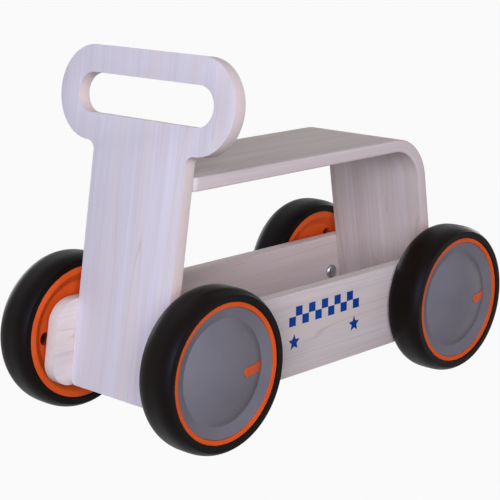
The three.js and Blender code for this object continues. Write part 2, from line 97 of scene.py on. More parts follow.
class Side(Named):
    """Sides of the walker, with the sign of their Y."""

    LEFT = 1
    RIGHT = -1

    @property
    def turn(self) -> float:
        """Angle about X that turns what is built along +Y outwards."""
        return 0.0 if self is Side.LEFT else math.pi


class End(Named):
    """Ends of the walker, with the sign of their X."""

    REAR = -1
    FRONT = 1


def srgb(red: int, green: int, blue: int) -> Colour:
    """Linear colour of an sRGB triple.

    Args:
        red: Red from 0 to 255.
        green: Green from 0 to 255.
        blue: Blue from 0 to 255.

    Returns:
        The linear colour, each channel from 0 to 1.
    """

    def linear(level: int) -> float:
        """Linear value of one channel, by the sRGB transfer curve."""
        share = level / 255
        return share / 12.92 if share <= 0.04045 else ((share + 0.055) / 1.055) ** 2.4

    return linear(red), linear(green), linear(blue)


class NodeSheet:
    """Node tree of a material or a world, with short ways to add and join nodes."""

    mix_colours = (6, 7)
    mix_result = 2

    def __init__(self, owner: bpy.types.ID) -> None:
        """Takes up the tree of a material or a world."""
        owner.use_nodes = True
        self.tree = owner.node_tree

    def add(self, kind: str, **settings: object) -> bpy.types.Node:
        """Adds a node.

        Args:
            kind: Node type without its ShaderNode prefix.
            **settings: Properties to set on the node.

        Returns:
            The new node.
        """
        node = self.tree.nodes.new("ShaderNode" + kind)
        for key, value in settings.items():
            setattr(node, key, value)
        return node

    def put(self, value: Value, socket: Socket) -> None:
        """Feeds an input socket.

        Args:
            value: An output socket to link, or a plain colour or number to set.
            socket: The input socket.
        """
        if isinstance(value, Socket):
            self.tree.links.new(value, socket)
        else:
            socket.default_value = (*value, 1.0) if isinstance(value, tuple) else value

    def stretched(self, vector: Socket, scale: Sequence[float]) -> Socket:
        """Scales a coordinate.

        Args:
            vector: The coordinate to scale.
            scale: Factor along each axis.

        Returns:
            The scaled coordinate.
        """
        node = self.add("VectorMath", operation="MULTIPLY")
        self.put(vector, node.inputs[0])
        node.inputs[1].default_value = scale
        return node.outputs["Vector"]

    def noise(self, vector: Socket, scale: float, detail: float, roughness: float = 0.55) -> Socket:
        """Adds noise at a coordinate.

        Args:
            vector: The coordinate.
            scale: Scale of the noise.
            detail: Number of finer layers.
            roughness: Weight of the finer layers.

        Returns:
            The noise, from 0 to 1.
        """
        node = self.add("TexNoise")
        values = {"Vector": vector, "Scale": scale, "Detail": detail, "Roughness": roughness}
        for name, value in values.items():
            self.put(value, node.inputs[name])
        return node.outputs["Fac"]

    def spread(self, value: Socket, source: Span, target: Span = (0.0, 1.0)) -> Socket:
        """Maps a value from one range to another, clamped at both ends.

        Args:
            value: The value to map.
            source: Range that it is read in.
            target: Range that it is mapped to.

        Returns:
            The mapped value.
        """
        node = self.add("MapRange", clamp=True)
        self.put(value, node.inputs["Value"])
        for name, number in zip(("From Min", "From Max", "To Min", "To Max"), (*source, *target)):
            self.put(number, node.inputs[name])
        return node.outputs["Result"]

    def mix(self, share: Socket, low: Value, high: Value) -> Socket:
        """Mixes two colours.

        Args:
            share: Share of the second colour, from 0 to 1.
            low: First colour.
            high: Second colour.

        Returns:
            The mixed colour.
        """
        node = self.add("Mix", data_type="RGBA")
        self.put(share, node.inputs["Factor"])
        for colour, place in zip((low, high), self.mix_colours):
            self.put(colour, node.inputs[place])
        return node.outputs[self.mix_result]

    def math(self, operation: str, first: Value, second: Value = 0.0) -> Socket:
        """Works out one operation on two numbers.

        Args:
            operation: Name of the operation.
            first: First number.
            second: Second number.

        Returns:
            The result.
        """
        node = self.add("Math", operation=operation)
        for value, socket in zip((first, second), node.inputs):
            self.put(value, socket)
        return node.outputs["Value"]

    def seen(self) -> Socket:
        """Tells the rays by which a surface is seen from those that only carry light.

        Returns:
            1 for rays of the camera, of reflections and of transmission, and 0 for the others.
        """
        ray = self.add("LightPath")
        seen = ray.outputs["Is Camera Ray"]
        for kind in ("Is Glossy Ray", "Is Transmission Ray"):
            seen = self.math("MAXIMUM", seen, ray.outputs[kind])
        return seen

    def blend(self, share: Socket, low: Socket, high: Socket, output: bpy.types.Node) -> None:
        """Mixes two shaders into an output node.

        Args:
            share: Share of the second shader, from 0 to 1.
            low: First shader.
            high: Second shader.
            output: The output node.
        """
        node = self.add("MixShader")
        for value, socket in zip((share, low, high), node.inputs):
            self.put(value, socket)
        self.put(node.outputs[0], output.inputs["Surface"])


class MaterialSheet(NodeSheet):
    """Node tree of a new material."""

    def __init__(self, name: str) -> None:
        """Makes the material.

        Args:
            name: Name of the material.
        """
        self.material = bpy.data.materials.new(name)
        super().__init__(self.material)
        self.shader = self.tree.nodes["Principled BSDF"]
        self.output = self.tree.nodes["Material Output"]

    def shade(self, name: str, value: Value) -> None:
        """Feeds an input of the surface's shader."""
        self.put(value, self.shader.inputs[name])

    def bump(self, height: Socket, strength: float, distance: float) -> None:
        """Raises the surface.

        Args:
            height: The height, from 0 to 1.
            strength: Share of the effect.
            distance: Height in metres at 1.
        """
        node = self.add("Bump")
        for name, value in {"Strength": strength, "Distance": distance, "Height": height}.items():
            self.put(value, node.inputs[name])
        self.shade("Normal", node.outputs["Normal"])

    def stored(self, name: str, output: str) -> Socket:
        """Value of an attribute that a mesh stores."""
        return self.add("Attribute", attribute_name=name, attribute_type="GEOMETRY").outputs[output]

    def place(self) -> Socket:
        """Object coordinates, in metres."""
        return self.add("TexCoord").outputs["Object"]


@dataclass(frozen=True)
class StretchedNoise:
    """Noise with a scale of its own along each axis."""

    scale: Tuple[float, float, float]
    detail: float
    roughness: float = 0.55

    def read(self, sheet: NodeSheet, vector: Socket) -> Socket:
        """Noise at a coordinate, from 0 to 1."""
        return sheet.noise(sheet.stretched(vector, self.scale), 1.0, self.detail, self.roughness)


@dataclass(frozen=True)
class WoodFinish:
    """Whitewashed birch with a fine straight grain, read from the grain attribute of a board.

    The attribute holds the distance along the grain, the distance across it, and the share of the board's depth.
    Where that share is well inside the board, the surface is a cut edge and shows the plies. A span is the range of
    a noise in which an effect grows, and its most is the share that the effect reaches.
    """

    name: str = "whitewashed_birch"
    pale: Colour = srgb(226, 213, 214)
    deep: Colour = srgb(204, 188, 187)
    blush: Colour = srgb(222, 203, 194)
    pore: Colour = srgb(176, 154, 146)
    edge: Colour = srgb(214, 198, 199)
    roughness: Span = (0.48, 0.62)
    specular: float = 0.2
    streaks: StretchedNoise = StretchedNoise((5.0, 420.0, 6.0), 5.0, 0.6)
    bands: StretchedNoise = StretchedNoise((2.4, 62.0, 2.0), 3.0, 0.5)
    patches: StretchedNoise = StretchedNoise((1.7, 34.0, 1.0), 2.0, 0.5)
    rings: StretchedNoise = StretchedNoise((1.5, 30.0, 1.0), 1.0, 0.4)
    flecks: StretchedNoise = StretchedNoise((22.0, 1500.0, 20.0), 2.0)
    streak_share: float = 0.5
    tone_span: Span = (0.36, 0.66)
    blush_span: Span = (0.45, 0.68)
    blush_most: float = 0.7
    ring_count: float = 7.0
    ring_span: Span = (0.06, 0.0)
    ring_patches: Span = (0.42, 0.6)
    ring_most: float = 0.42
    fleck_span: Span = (0.60, 0.80)
    fleck_most: float = 0.3
    edge_span: Span = (0.9, 0.78)
    ply_turn: float = 44.0
    ply_most: float = 0.12
    edge_streaks: Span = (0.35, 0.7)
    edge_streak_most: float = 0.3
    gloss_span: Span = (0.3, 0.7)
    relief: float = 0.12
    relief_depth: float = 0.0003

    def face_colour(self, sheet: NodeSheet, grain: Socket, streak: Socket) -> Socket:
        """Colour of the board's faces: streaks and bands, warm patches, growth rings and flecks.

        Args:
            sheet: The material's nodes.
            grain: The grain coordinate.
            streak: The fine streaks, from 0 to 1.

        Returns:
            The colour.
        """
        fine = sheet.math("MULTIPLY", streak, self.streak_share)
        broad = sheet.math("MULTIPLY", self.bands.read(sheet, grain), 1 - self.streak_share)
        colour = sheet.mix(sheet.spread(sheet.math("ADD", fine, broad), self.tone_span), self.pale, self.deep)
        patch = self.patches.read(sheet, grain)
        colour = sheet.mix(sheet.spread(patch, self.blush_span, (0.0, self.blush_most)), colour, self.blush)
        ring = sheet.math("FRACT", sheet.math("MULTIPLY", self.rings.read(sheet, grain), self.ring_count))
        line = sheet.spread(sheet.math("ABSOLUTE", sheet.math("SUBTRACT", ring, 0.5)), self.ring_span)
        line = sheet.math("MULTIPLY", line, sheet.spread(patch, self.ring_patches))
        colour = sheet.mix(sheet.math("MULTIPLY", line, self.ring_most), colour, self.pore)
        fleck = self.flecks.read(sheet, grain)
        return sheet.mix(sheet.spread(fleck, self.fleck_span, (0.0, self.fleck_most)), colour, self.pore)

    def edge_colour(self, sheet: NodeSheet, depth: Socket, streak: Socket) -> Socket:
        """Colour of the board's cut edges: faint plies and streaks.

        Args:
            sheet: The material's nodes.
            depth: Share of the board's depth.
            streak: The fine streaks, from 0 to 1.

        Returns:
            The colour.
        """
        ply = sheet.math("SINE", sheet.math("MULTIPLY", depth, self.ply_turn))
        layer = sheet.mix(sheet.spread(ply, (-1.0, 1.0), (0.0, self.ply_most)), self.edge, self.deep)
        dark = sheet.spread(streak, self.edge_streaks, (0.0, self.edge_streak_most))
        return sheet.mix(dark, layer, self.deep)

    def build(self) -> Material:
        """Makes the material.

        Returns:
            The new material.
        """
        sheet = MaterialSheet(self.name)
        grain = sheet.stored(GRAIN, "Vector")
        streak = self.streaks.read(sheet, grain)
        parts = sheet.add("SeparateXYZ")
        sheet.put(grain, parts.inputs[0])
        depth = parts.outputs["Z"]
        off_middle = sheet.math("ABSOLUTE", sheet.math("SUBTRACT", sheet.math("MULTIPLY", depth, 2.0), 1.0))
        face, cut = self.face_colour(sheet, grain, streak), self.edge_colour(sheet, depth, streak)
        sheet.shade("Base Color", sheet.mix(sheet.spread(off_middle, self.edge_span), face, cut))
        sheet.shade("Roughness", sheet.spread(streak, self.gloss_span, self.roughness))
        sheet.shade("Specular IOR Level", self.specular)
        sheet.bump(streak, self.relief, self.relief_depth)
        return sheet.material


@dataclass(frozen=True)
class MouldedFinish:
    """Moulded plastic or rubber with a faint texture and slightly uneven gloss, and, where a pocket colour is
    given, painted shade inside the pockets that the mesh marks.
    """

    name: str
    colour: Colour
    shade: Colour
    roughness: Span
    texture: float = 900.0
    specular: float = 0.5
    sheen: Colour = (1.0, 1.0, 1.0)
    # Colour of the painted shade inside the rim's pockets, or None for no painted shade.
    pocket_shade: Optional[Colour] = None
    cloud: float = 24.0
    cloud_detail: float = 4.0
    texture_detail: float = 2.0
    tone_span: Span = (0.35, 0.7)
    gloss_span: Span = (0.3, 0.7)
    relief: float = 0.25
    relief_depth: float = 0.00008

    def build(self) -> Material:
        """Makes the material.

        Returns:
            The new material.
        """
        sheet = MaterialSheet(self.name)
        place = sheet.place()
        cloud = sheet.noise(place, self.cloud, self.cloud_detail)
        colour = sheet.mix(sheet.spread(cloud, self.tone_span), self.colour, self.shade)
        # Painted shade: the colour turns to the pocket colour where the mesh marks the inside of a pocket.
        if self.pocket_shade:
            colour = sheet.mix(sheet.stored(POCKET_SHADE, "Fac"), colour, self.pocket_shade)
        sheet.shade("Base Color", colour)
        sheet.shade("Roughness", sheet.spread(cloud, self.gloss_span, self.roughness))
        sheet.shade("Specular IOR Level", self.specular)
        sheet.shade("Specular Tint", self.sheen)
        sheet.bump(sheet.noise(place, self.texture, self.texture_detail), self.relief, self.relief_depth)
        return sheet.material


@dataclass(frozen=True)
class SteelFinish:
    """Zinc-plated steel with fine turning marks around the Y axis."""

    name: str = "zinc_steel"
    colour: Colour = srgb(190, 192, 196)
    roughness: Span = (0.24, 0.42)
    marks: StretchedNoise = StretchedNoise((30.0, 1500.0, 30.0), 3.0)
    gloss_span: Span = (0.3, 0.7)
    relief: float = 0.1
    relief_depth: float = 0.00005

    def build(self) -> Material:
        """Makes the material.

        Returns:
            The new material.
        """
        sheet = MaterialSheet(self.name)
        marks = self.marks.read(sheet, sheet.place())
        sheet.shade("Base Color", self.colour)
        sheet.shade("Metallic", 1.0)
        sheet.shade("Roughness", sheet.spread(marks, self.gloss_span, self.roughness))
        sheet.bump(marks, self.relief, self.relief_depth)
        return sheet.material


@dataclass(frozen=True)
class FloorFinish:
    """Pale floor that the camera and reflections see as white, and that still shows the object's shadow."""

    name: str = "studio_floor"
    colour: Colour = (0.15, 0.15, 0.15)
    glow: Colour = (1.0, 1.0, 1.0)
    white_share: float = 0.95
    roughness: float = 0.9

    def build(self) -> Material:
        """Makes the material.

        Returns:
            The new material.
        """
        sheet = MaterialSheet(self.name)
        sheet.shade("Base Color", self.colour)
        sheet.shade("Roughness", self.roughness)
        sheet.shade("Specular IOR Level", 0.0)
        glow = sheet.add("Emission")
        sheet.put(self.glow, glow.inputs["Color"])
        share = sheet.math("MULTIPLY", sheet.seen(), self.white_share)
        sheet.blend(share, sheet.shader.outputs[0], glow.outputs[0], sheet.output)
        return sheet.material


class Bench:
    """Ways to work on one object with Blender's operators."""

    @staticmethod
    def activate(obj: Piece) -> None:
        """Makes an object the only selected one.

        Args:
            obj: The object.
        """
        bpy.ops.object.select_all(action="DESELECT")
        obj.select_set(True)
        bpy.context.view_layer.objects.active = obj

    @staticmethod
    def ease(obj: Piece, width: float, segments: int = 3, angle: float = 32.0) -> None:
        """Rounds the sharp edges of an object.

        Args:
            obj: The object.
            width: Width of the rounding.
            segments: Steps across the rounding.
            angle: Edges sharper than this many degrees are rounded.
        """
        Bench.activate(obj)
        bpy.ops.object.modifier_add(type="BEVEL")
        bevel = obj.modifiers[-1]
        bevel.width = width
        bevel.segments = segments
        bevel.limit_method = "ANGLE"
        bevel.angle_limit = math.radians(angle)
        bevel.use_clamp_overlap = True
        bpy.ops.object.modifier_apply(modifier=bevel.name)

    @staticmethod
    def combine(target: Piece, tool: Piece, operation: Operation) -> None:
        """Cuts, trims or joins an object by a tool, which is used up.

        Args:
            target: The object to change.
            tool: The closed tool object.
            operation: What the tool does.
        """
        Bench.activate(target)
        bpy.ops.object.modifier_add(type="BOOLEAN")
        boolean = target.modifiers[-1]
        boolean.operation = operation.value
        boolean.solver = "EXACT"
        boolean.object = tool
        bpy.ops.object.modifier_apply(modifier=boolean.name)
        Bench.remove(tool)

    @staticmethod
    def smooth(obj: Piece, angle: float = 36.0) -> None:
        """Shades an object smooth, with edges sharper than an angle in degrees kept."""
        Bench.activate(obj)
        bpy.ops.object.shade_smooth_by_angle(angle=math.radians(angle))

    @staticmethod
    def copy_to(master: Piece, name: str, turn: float, place: Vector) -> Piece:
        """Copies an object, turns it about X, moves it, and applies both.

        Args:
            master: The object to copy, at the origin.
            name: Name of the copy.
            turn: Angle about X.
            place: Where the copy's origin goes.

        Returns:
            The copy, with a mesh of its own.
        """
        Bench.activate(master)
        bpy.ops.object.duplicate(linked=False)
        copy = bpy.context.object
        copy.name = name
        copy.data.name = name
        copy.rotation_euler = (turn, 0.0, 0.0)
        copy.location = place
        bpy.ops.object.transform_apply(location=True, rotation=True, scale=True)
        return copy

    @staticmethod
    def remove(obj: Piece) -> None:
        """Deletes an object."""
        Bench.activate(obj)
        bpy.ops.object.delete()


class Sketch:
    """A mesh drawn point by point in edit mode, then filled, extruded or spun."""

    def __init__(self, name: str) -> None:
        """Starts with an empty mesh.

        Args:
            name: Name of the object and its mesh.
        """
        bpy.ops.object.select_all(action="DESELECT")
        bpy.ops.mesh.primitive_plane_add(size=MM, location=(0.0, 0.0, 0.0))
        self.obj = bpy.context.object
        self.obj.name = name
        self.obj.data.name = name
        bpy.ops.object.mode_set(mode="EDIT")
        bpy.ops.mesh.select_all(action="SELECT")
        bpy.ops.mesh.delete(type="VERT")

    def line(self, points: Sequence[Vector], closed: bool) -> "Sketch":
        """Draws a line through points, by extruding a single vertex.

        Args:
            points: The points, in order.
            closed: Whether the line runs back to its first point.

        Returns:
            This sketch.
        """
        bpy.ops.mesh.primitive_plane_add(size=MM, location=points[0])
        bpy.ops.mesh.merge(type="CENTER")
        stops = list(points) + ([points[0]] if closed else [])
        for last, following in zip(stops, stops[1:]):
            bpy.ops.mesh.extrude_vertices_move(TRANSFORM_OT_translate={"value": tuple(following - last)})
        return self.join()

    def join(self) -> "Sketch":
        """Joins the vertices that lie together.

        Returns:
            This sketch, with everything selected.
        """
        bpy.ops.mesh.select_all(action="SELECT")
        bpy.ops.mesh.remove_doubles(threshold=MERGE)
        return self

    def fill(self) -> "Sketch":
        """Fills the closed lines, leaving inner ones open as holes.

        Returns:
            This sketch, with everything selected.
        """
        bpy.ops.mesh.select_all(action="SELECT")
        bpy.ops.mesh.fill(use_beauty=True)
        bpy.ops.mesh.select_all(action="SELECT")
        return self

    def thicken(self, way: Vector) -> "Sketch":
        """Extrudes the filled faces."""
        bpy.ops.mesh.extrude_region_move(TRANSFORM_OT_translate={"value": tuple(way)})
        return self

    def spin(self, steps: int) -> "Sketch":
        """Turns the line about the Y axis.

        Args:
            steps: Steps around.

        Returns:
            This sketch.
        """
        bpy.ops.mesh.select_all(action="SELECT")
        bpy.ops.mesh.spin(steps=steps, angle=2 * math.pi, center=(0.0, 0.0, 0.0), axis=(0.0, 1.0, 0.0))
        return self.join()

    def bevel_edges(self, chosen: Callable[[Vector, Vector], bool], width: float, segments: int) -> "Sketch":
        """Rounds some of the edges.

        Args:
            chosen: Picks an edge by its two ends.
            width: Width of the rounding.
            segments: Steps across the rounding.

        Returns:
            This sketch.
        """
        bpy.ops.mesh.select_mode(type="EDGE")
        bpy.ops.mesh.select_all(action="DESELECT")
        mesh = bmesh.from_edit_mesh(self.obj.data)
        for edge in mesh.edges:
            edge.select_set(chosen(edge.verts[0].co, edge.verts[1].co))
        bmesh.update_edit_mesh(self.obj.data)
        bpy.ops.mesh.bevel(offset=width, segments=segments, affect="EDGES")
        return self

    def done(self) -> Piece:
        """Turns the faces outwards and leaves edit mode.

        Returns:
            The finished object.
        """
        bpy.ops.mesh.select_mode(type="VERT")
        bpy.ops.mesh.select_all(action="SELECT")
        bpy.ops.mesh.normals_make_consistent(inside=False)
        bpy.ops.object.mode_set(mode="OBJECT")
        return self.obj


def rectangle(left: float, low: float, right: float, high: float) -> Profile:
    """Corners of a rectangle, anticlockwise from the low left one."""
    return [(left, low), (right, low), (right, high), (left, high)]


def arc(centre: Vector, radius: float, start: float, end: float, steps: int) -> List[Vector]:
    """Points of an arc in a plane.

    Args:
        centre: Centre, in the plane.
        radius: Radius.
        start: First angle, in degrees.
        end: Last angle, in degrees.
        steps: Number of steps.

    Returns:
        The points, both ends included.
    """
    angles = [math.radians(start + (end - start) * k / steps) for k in range(steps + 1)]
    return [centre + radius * Vector((math.cos(a), math.sin(a))) for a in angles]


def rounded(corners: Corners, steps: int = 14) -> List[Vector]:
    """Points of an outline whose corners are rounded by tangent arcs.

    Args:
        corners: Corners as (x, y, radius), anticlockwise.
        steps: Steps per quarter turn.

    Returns:
        The points in order.
    """
    points: List[Vector] = []
    count = len(corners)
    for index, (x, y, radius) in enumerate(corners):
        corner = Vector((x, y))
        back = (Vector(corners[index - 1][:2]) - corner).normalized()
        ahead = (Vector(corners[(index + 1) % count][:2]) - corner).normalized()
        half = back.angle(ahead) / 2
        centre = corner + (back + ahead).normalized() * radius / math.sin(half)
        spoke = corner + back * radius / math.tan(half) - centre
        turn = math.pi - 2 * half
        turn = turn if ahead.cross(back) > 0 else -turn
        pieces = max(2, round(steps * abs(turn) * 2 / math.pi))
        for k in range(pieces + 1):
            point = centre + Matrix.Rotation(turn * k / pieces, 2) @ spoke
            if all((point - other).length > 2 * MERGE for other in points[-1:] + points[:1]):
                points.append(point)
    return points


def prism(name: str, loops: Sequence[Sequence[Vector]], way: Vector) -> Piece:
    """Fills closed loops and extrudes them.

    Args:
        name: Name of the object.
        loops: Points of each loop; a loop inside another is a hole.
        way: Way and length of the extrusion.

    Returns:
        The new object.
    """
    sketch = Sketch(name)
    for loop in loops:
        sketch.line(loop, closed=True)
    return sketch.fill().thicken(way).done()


def turned(name: str, profile: Profile, steps: int, closed: bool, ease: float = 0.0,
           angle: float = 32.0) -> Piece:
    """Spins a profile about the Y axis and rounds its sharp edges.

    Args:
        name: Name of the object.
        profile: Points as (radius, station along Y).
        steps: Steps around.
        closed: Whether the profile closes on itself; it runs from axis to axis otherwise.
        ease: Width of the rounding, or 0 for none.
        angle: Edges sharper than this many degrees are rounded.

    Returns:
        The new object, at the origin.
    """
    points = [Vector((radius, station, 0.0)) for radius, station in profile]
    obj = Sketch(name).line(points, closed).spin(steps).done()
    if ease:
        Bench.ease(obj, ease, angle=angle)
    return obj


def soft_profile(corners: Corners, steps: int = 8) -> Profile:
    """Profile whose corners, given as (radius, station, rounding), are rounded."""
    return [(point.x, point.y) for point in rounded(corners, steps)]


def write_grain(obj: Piece, mapping: Callable[[Vector], Vector]) -> None:
    """Stores the grain coordinate of every vertex of a board.

    Args:
        obj: The board.
        mapping: Gives (along, across, depth share) for a point.
    """
    layer = obj.data.attributes.new(GRAIN, "FLOAT_VECTOR", "POINT")
    for vertex, item in zip(obj.data.vertices, layer.data):
        item.vector = mapping(vertex.co)


@dataclass
class Fitter:
    """Hands finished pieces to the frame."""

    materials: Dict[Slot, Material]

    def fit(self, obj: Piece, body: str, slot: Slot, node: str, finish: Optional[Material] = None) -> None:
        """Gives a piece its finish and its body, and hides the CAD node that it stands for.

        Args:
            obj: The piece.
            body: Name of the body that it moves with.
            slot: Its material slot.
            node: Name of the node.
            finish: Its material, where it isn't the slot's.
        """
        obj.data.materials.clear()
        obj.data.materials.append(finish or self.materials[slot])
        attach(obj, body)
        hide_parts(node)
        LOG.info("fitted %s to %s", obj.name, body)

    def fit_board(self, board: Piece, node: str, mapping: Callable[[Vector], Vector],
                  wood: Optional[WoodFinish] = None) -> None:
        """Shades a board, stores its grain and fits it to the frame's body.

        Args:
            board: The board.
            node: Name of the CAD node that it stands for.
            mapping: Gives the grain coordinate for a point.
            wood: Its finish, where it isn't the slot's.
        """
        Bench.smooth(board)
        write_grain(board, mapping)
        self.fit(board, "frame", Slot.BIRCH, node, wood.build() if wood else None)

    def keep(self, node: str, slot: Slot) -> None:
        """Gives a CAD node that is shown as it is a better finish.

        Args:
            node: Name of the node.
            slot: Its material slot.
        """
        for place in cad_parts[node].material_slots:
            place.material = self.materials[slot]
        LOG.info("finished %s", node)


@dataclass(frozen=True)
class Panels:
    """The leaning planes of the handle board and the arch wall, and the seat's height."""

    spread: float = 499 * MM
    lean: float = math.radians(9.0)
    width: float = 142 * MM
    foot: float = 42.4 * MM
    thickness: float = 15 * MM
    seat_top: float = 286 * MM
    gap: float = 0.3 * MM

    @property
    def sine(self) -> float:
        """Sine of the lean."""
        return math.sin(self.lean)

    @property
    def cosine(self) -> float:
        """Cosine of the lean."""
        return math.cos(self.lean)

    def inside(self, height: float, depth: Optional[float] = None) -> float:
        """Distance from the middle to a panel, at a height and a depth behind its outer face."""
        depth = self.thickness if depth is None else depth
        return self.spread / 2 - height * math.tan(self.lean) - depth / self.cosine


@dataclass
class HandleBoard:
    """Leaning handle board with a wide head and a grip slot."""

    panels: Panels
    rise: float = 77.6 * MM
    foot_corner: float = 8 * MM
    neck_fillet: float = 11 * MM
    head_radius: float = 52.2 * MM
    slot_radius: float = 21.9 * MM
    ease: float = 1.5 * MM
    wood: WoodFinish = WoodFinish(
        "handle_birch", pale=srgb(227, 218, 228), deep=srgb(212, 200, 209), blush=srgb(225, 210, 211),
        pore=srgb(188, 170, 170), edge=srgb(234, 211, 202))

    def at(self, across: float, up: float, deep: float) -> Vector:
        """A point of the board from its own coordinates."""
        sine, cosine = self.panels.sine, self.panels.cosine
        return Vector((up * sine + deep * cosine - self.panels.spread / 2, across, up * cosine - deep * sine))

    def grain(self, point: Vector) -> Vector:
        """Grain coordinate, upwards along the board.

        Args:
            point: The point.

        Returns:
            Distance along the grain, distance across it, and share of the depth.
        """
        sine, cosine = self.panels.sine, self.panels.cosine
        run = point.x + self.panels.spread / 2
        deep = run * cosine - point.z * sine
        return Vector((run * sine + point.z * cosine, point.y, deep / self.panels.thickness))

    def build(self, fitter: Fitter) -> None:
        """Makes the board and fits it.

        Args:
            fitter: Hands the board to the frame.
        """
        middle = self.panels.seat_top / self.panels.cosine + self.rise
        neck = self.panels.width / 2
        low, high = middle - self.head_radius, middle + self.head_radius
        head = neck + self.neck_fillet + self.head_radius
        slot = neck + self.neck_fillet + self.slot_radius
        outline = rounded([
            (-neck, self.panels.foot, self.foot_corner),
            (neck, self.panels.foot, self.foot_corner),
            (neck, low, self.neck_fillet),
            (head, low, self.head_radius),
            (head, high, self.head_radius),
            (-head, high, self.head_radius),
            (-head, low, self.head_radius),
            (-neck, low, self.neck_fillet),
        ])
        box = rectangle(-slot, middle - self.slot_radius, slot, middle + self.slot_radius)
        opening = rounded([(x, y, self.slot_radius) for x, y in box])
        loops = [[self.at(point.x, point.y, 0.0) for point in loop] for loop in (outline, opening)]
        way = self.at(0.0, 0.0, self.panels.thickness) - self.at(0.0, 0.0, 0.0)
        board = prism("handle_board_wood", loops, way)
        Bench.ease(board, self.ease)
        fitter.fit_board(board, "handle_board", self.grain, self.wood)


@dataclass
class SeatArch:
    """Bent strip that is the seat and the leaning front wall."""

    panels: Panels
    bend: float = 60 * MM
    bend_steps: int = 20
    corner: float = 9 * MM
    corner_steps: int = 10
    ease: float = 1.5 * MM
    grain_shift: float = 0.4
    wood: WoodFinish = WoodFinish(
        "arch_birch", pale=srgb(210, 196, 195), deep=srgb(186, 169, 166), blush=srgb(203, 185, 177),
        pore=srgb(160, 138, 130), edge=srgb(229, 210, 208))

    @property
    def centre(self) -> Vector:
        """Centre of the bend, in the XZ plane."""
        height = self.panels.seat_top - self.bend
        return Vector((self.panels.inside(height, self.bend), height))

    def grain(self, point: Vector) -> Vector:
        """Grain coordinate, lengthwise along the seat, the bend and the wall.

        Args:
            point: The point.

        Returns:
            Distance along the grain, distance across it, and share of the depth.
        """
        sine, cosine = self.panels.sine, self.panels.cosine
        spoke = Vector((point.x, point.z)) - self.centre
        turn = math.atan2(spoke.x, spoke.y)
        full = math.pi / 2 - self.panels.lean
        middle = self.bend - self.panels.thickness / 2
        if spoke.x <= 0 and spoke.y > -self.bend / 2:
            along, out = spoke.x, spoke.y
        elif turn < full:
            along, out = middle * turn, spoke.length
        else:
            along = middle * full + spoke.x * sine - spoke.y * cosine
            out = spoke.x * cosine + spoke.y * sine
        return Vector((along, point.y + self.grain_shift, (self.bend - out) / self.panels.thickness))

    def build(self, fitter: Fitter) -> None:
        """Makes the strip and fits it.

        Args:
            fitter: Hands the strip to the frame.
        """
        panels, lean, top = self.panels, math.degrees(self.panels.lean), self.panels.seat_top
        under = top - panels.thickness
        seam = panels.gap / panels.cosine
        outer = arc(self.centre, self.bend, lean, 90.0, self.bend_steps)
        inner = arc(self.centre, self.bend - panels.thickness, 90.0, lean, self.bend_steps)
        foot = Vector((panels.spread / 2 - panels.foot * panels.sine, panels.foot * panels.cosine))
        back = panels.thickness * Vector((-panels.cosine, -panels.sine))
        rear_top, rear_low = seam - panels.inside(top), seam - panels.inside(under)
        outline = [foot, *outer, Vector((rear_top, top)), Vector((rear_low, under)), *inner, foot + back]

        def at_rear(first: Vector, second: Vector) -> bool:
            """Whether an edge is an upright corner of the seat's rear end."""
            return max(first.x, second.x) < rear_top + MM and abs(first.y - second.y) < MM

        sketch = Sketch("seat_arch_wood")
        sketch.line([Vector((point.x, -panels.width / 2, point.y)) for point in outline], closed=True)
        sketch.fill().thicken(Vector((0.0, panels.width, 0.0)))
        strip = sketch.bevel_edges(at_rear, self.corner, self.corner_steps).done()
        Bench.ease(strip, self.ease)
        fitter.fit_board(strip, "seat_arch", self.grain, self.wood)


@dataclass
class SideBoard:
    """Long board with leaning ends and a printed band on its outer face."""

    panels: Panels
    side: Side
    thickness: float = 15 * MM
    clearance: float = 40.5 * MM
    height: float = 97.2 * MM
    overhang: float = 27.8 * MM
    top_corner: float = 30 * MM
    low_corner: float = 25 * MM
    ease: float = 2.4 * MM
    grain_shift: float = 0.9
    grain_apart: float = 0.3

    @property
    def inner(self) -> float:
        """Distance of the inner face from the middle plane."""
        return self.panels.width / 2 + self.panels.gap

    @property
    def outer(self) -> float:
        """Distance of the outer face from the middle plane."""
        return self.inner + self.thickness

    @property
    def wood(self) -> WoodFinish:
        """Finish of this side's board."""
        return WoodFinish(f"{self.side.word}_side_birch", pale=srgb(224, 209, 207), deep=srgb(206, 189, 185),
                          blush=srgb(220, 200, 190), edge=srgb(234, 217, 211))

    def grain(self, point: Vector) -> Vector:
        """Grain coordinate, lengthwise along the board."""
        shift = self.grain_shift + self.grain_apart * self.side.value
        return Vector((point.x, point.z + shift, (abs(point.y) - self.inner) / self.thickness))

    def build(self, fitter: Fitter, cutters: Callable[[Side], List[Piece]]) -> None:
        """Makes the board, cuts it and fits it.

        Args:
            fitter: Hands the board to the frame.
            cutters: Makes the closed tools that cut the board of a side.
        """
        top = self.clearance + self.height
        reach = self.panels.spread / 2 + self.overhang
        low_end = reach - self.clearance * math.tan(self.panels.lean)
        top_end = reach - top * math.tan(self.panels.lean)
        outline = rounded([
            (-low_end, self.clearance, self.low_corner),
            (low_end, self.clearance, self.low_corner),
            (top_end, top, self.top_corner),
            (-top_end, top, self.top_corner),
        ])
        node, sign = f"side_board_{self.side.word}", self.side.value
        loop = [Vector((point.x, sign * self.inner, point.y)) for point in outline]
        board = prism(f"{node}_wood", [loop], Vector((0.0, sign * self.thickness, 0.0)))
        Bench.ease(board, self.ease)
        for tool in cutters(self.side):
            Bench.combine(board, tool, Operation.CUT)
        fitter.fit_board(board, node, self.grain, self.wood)


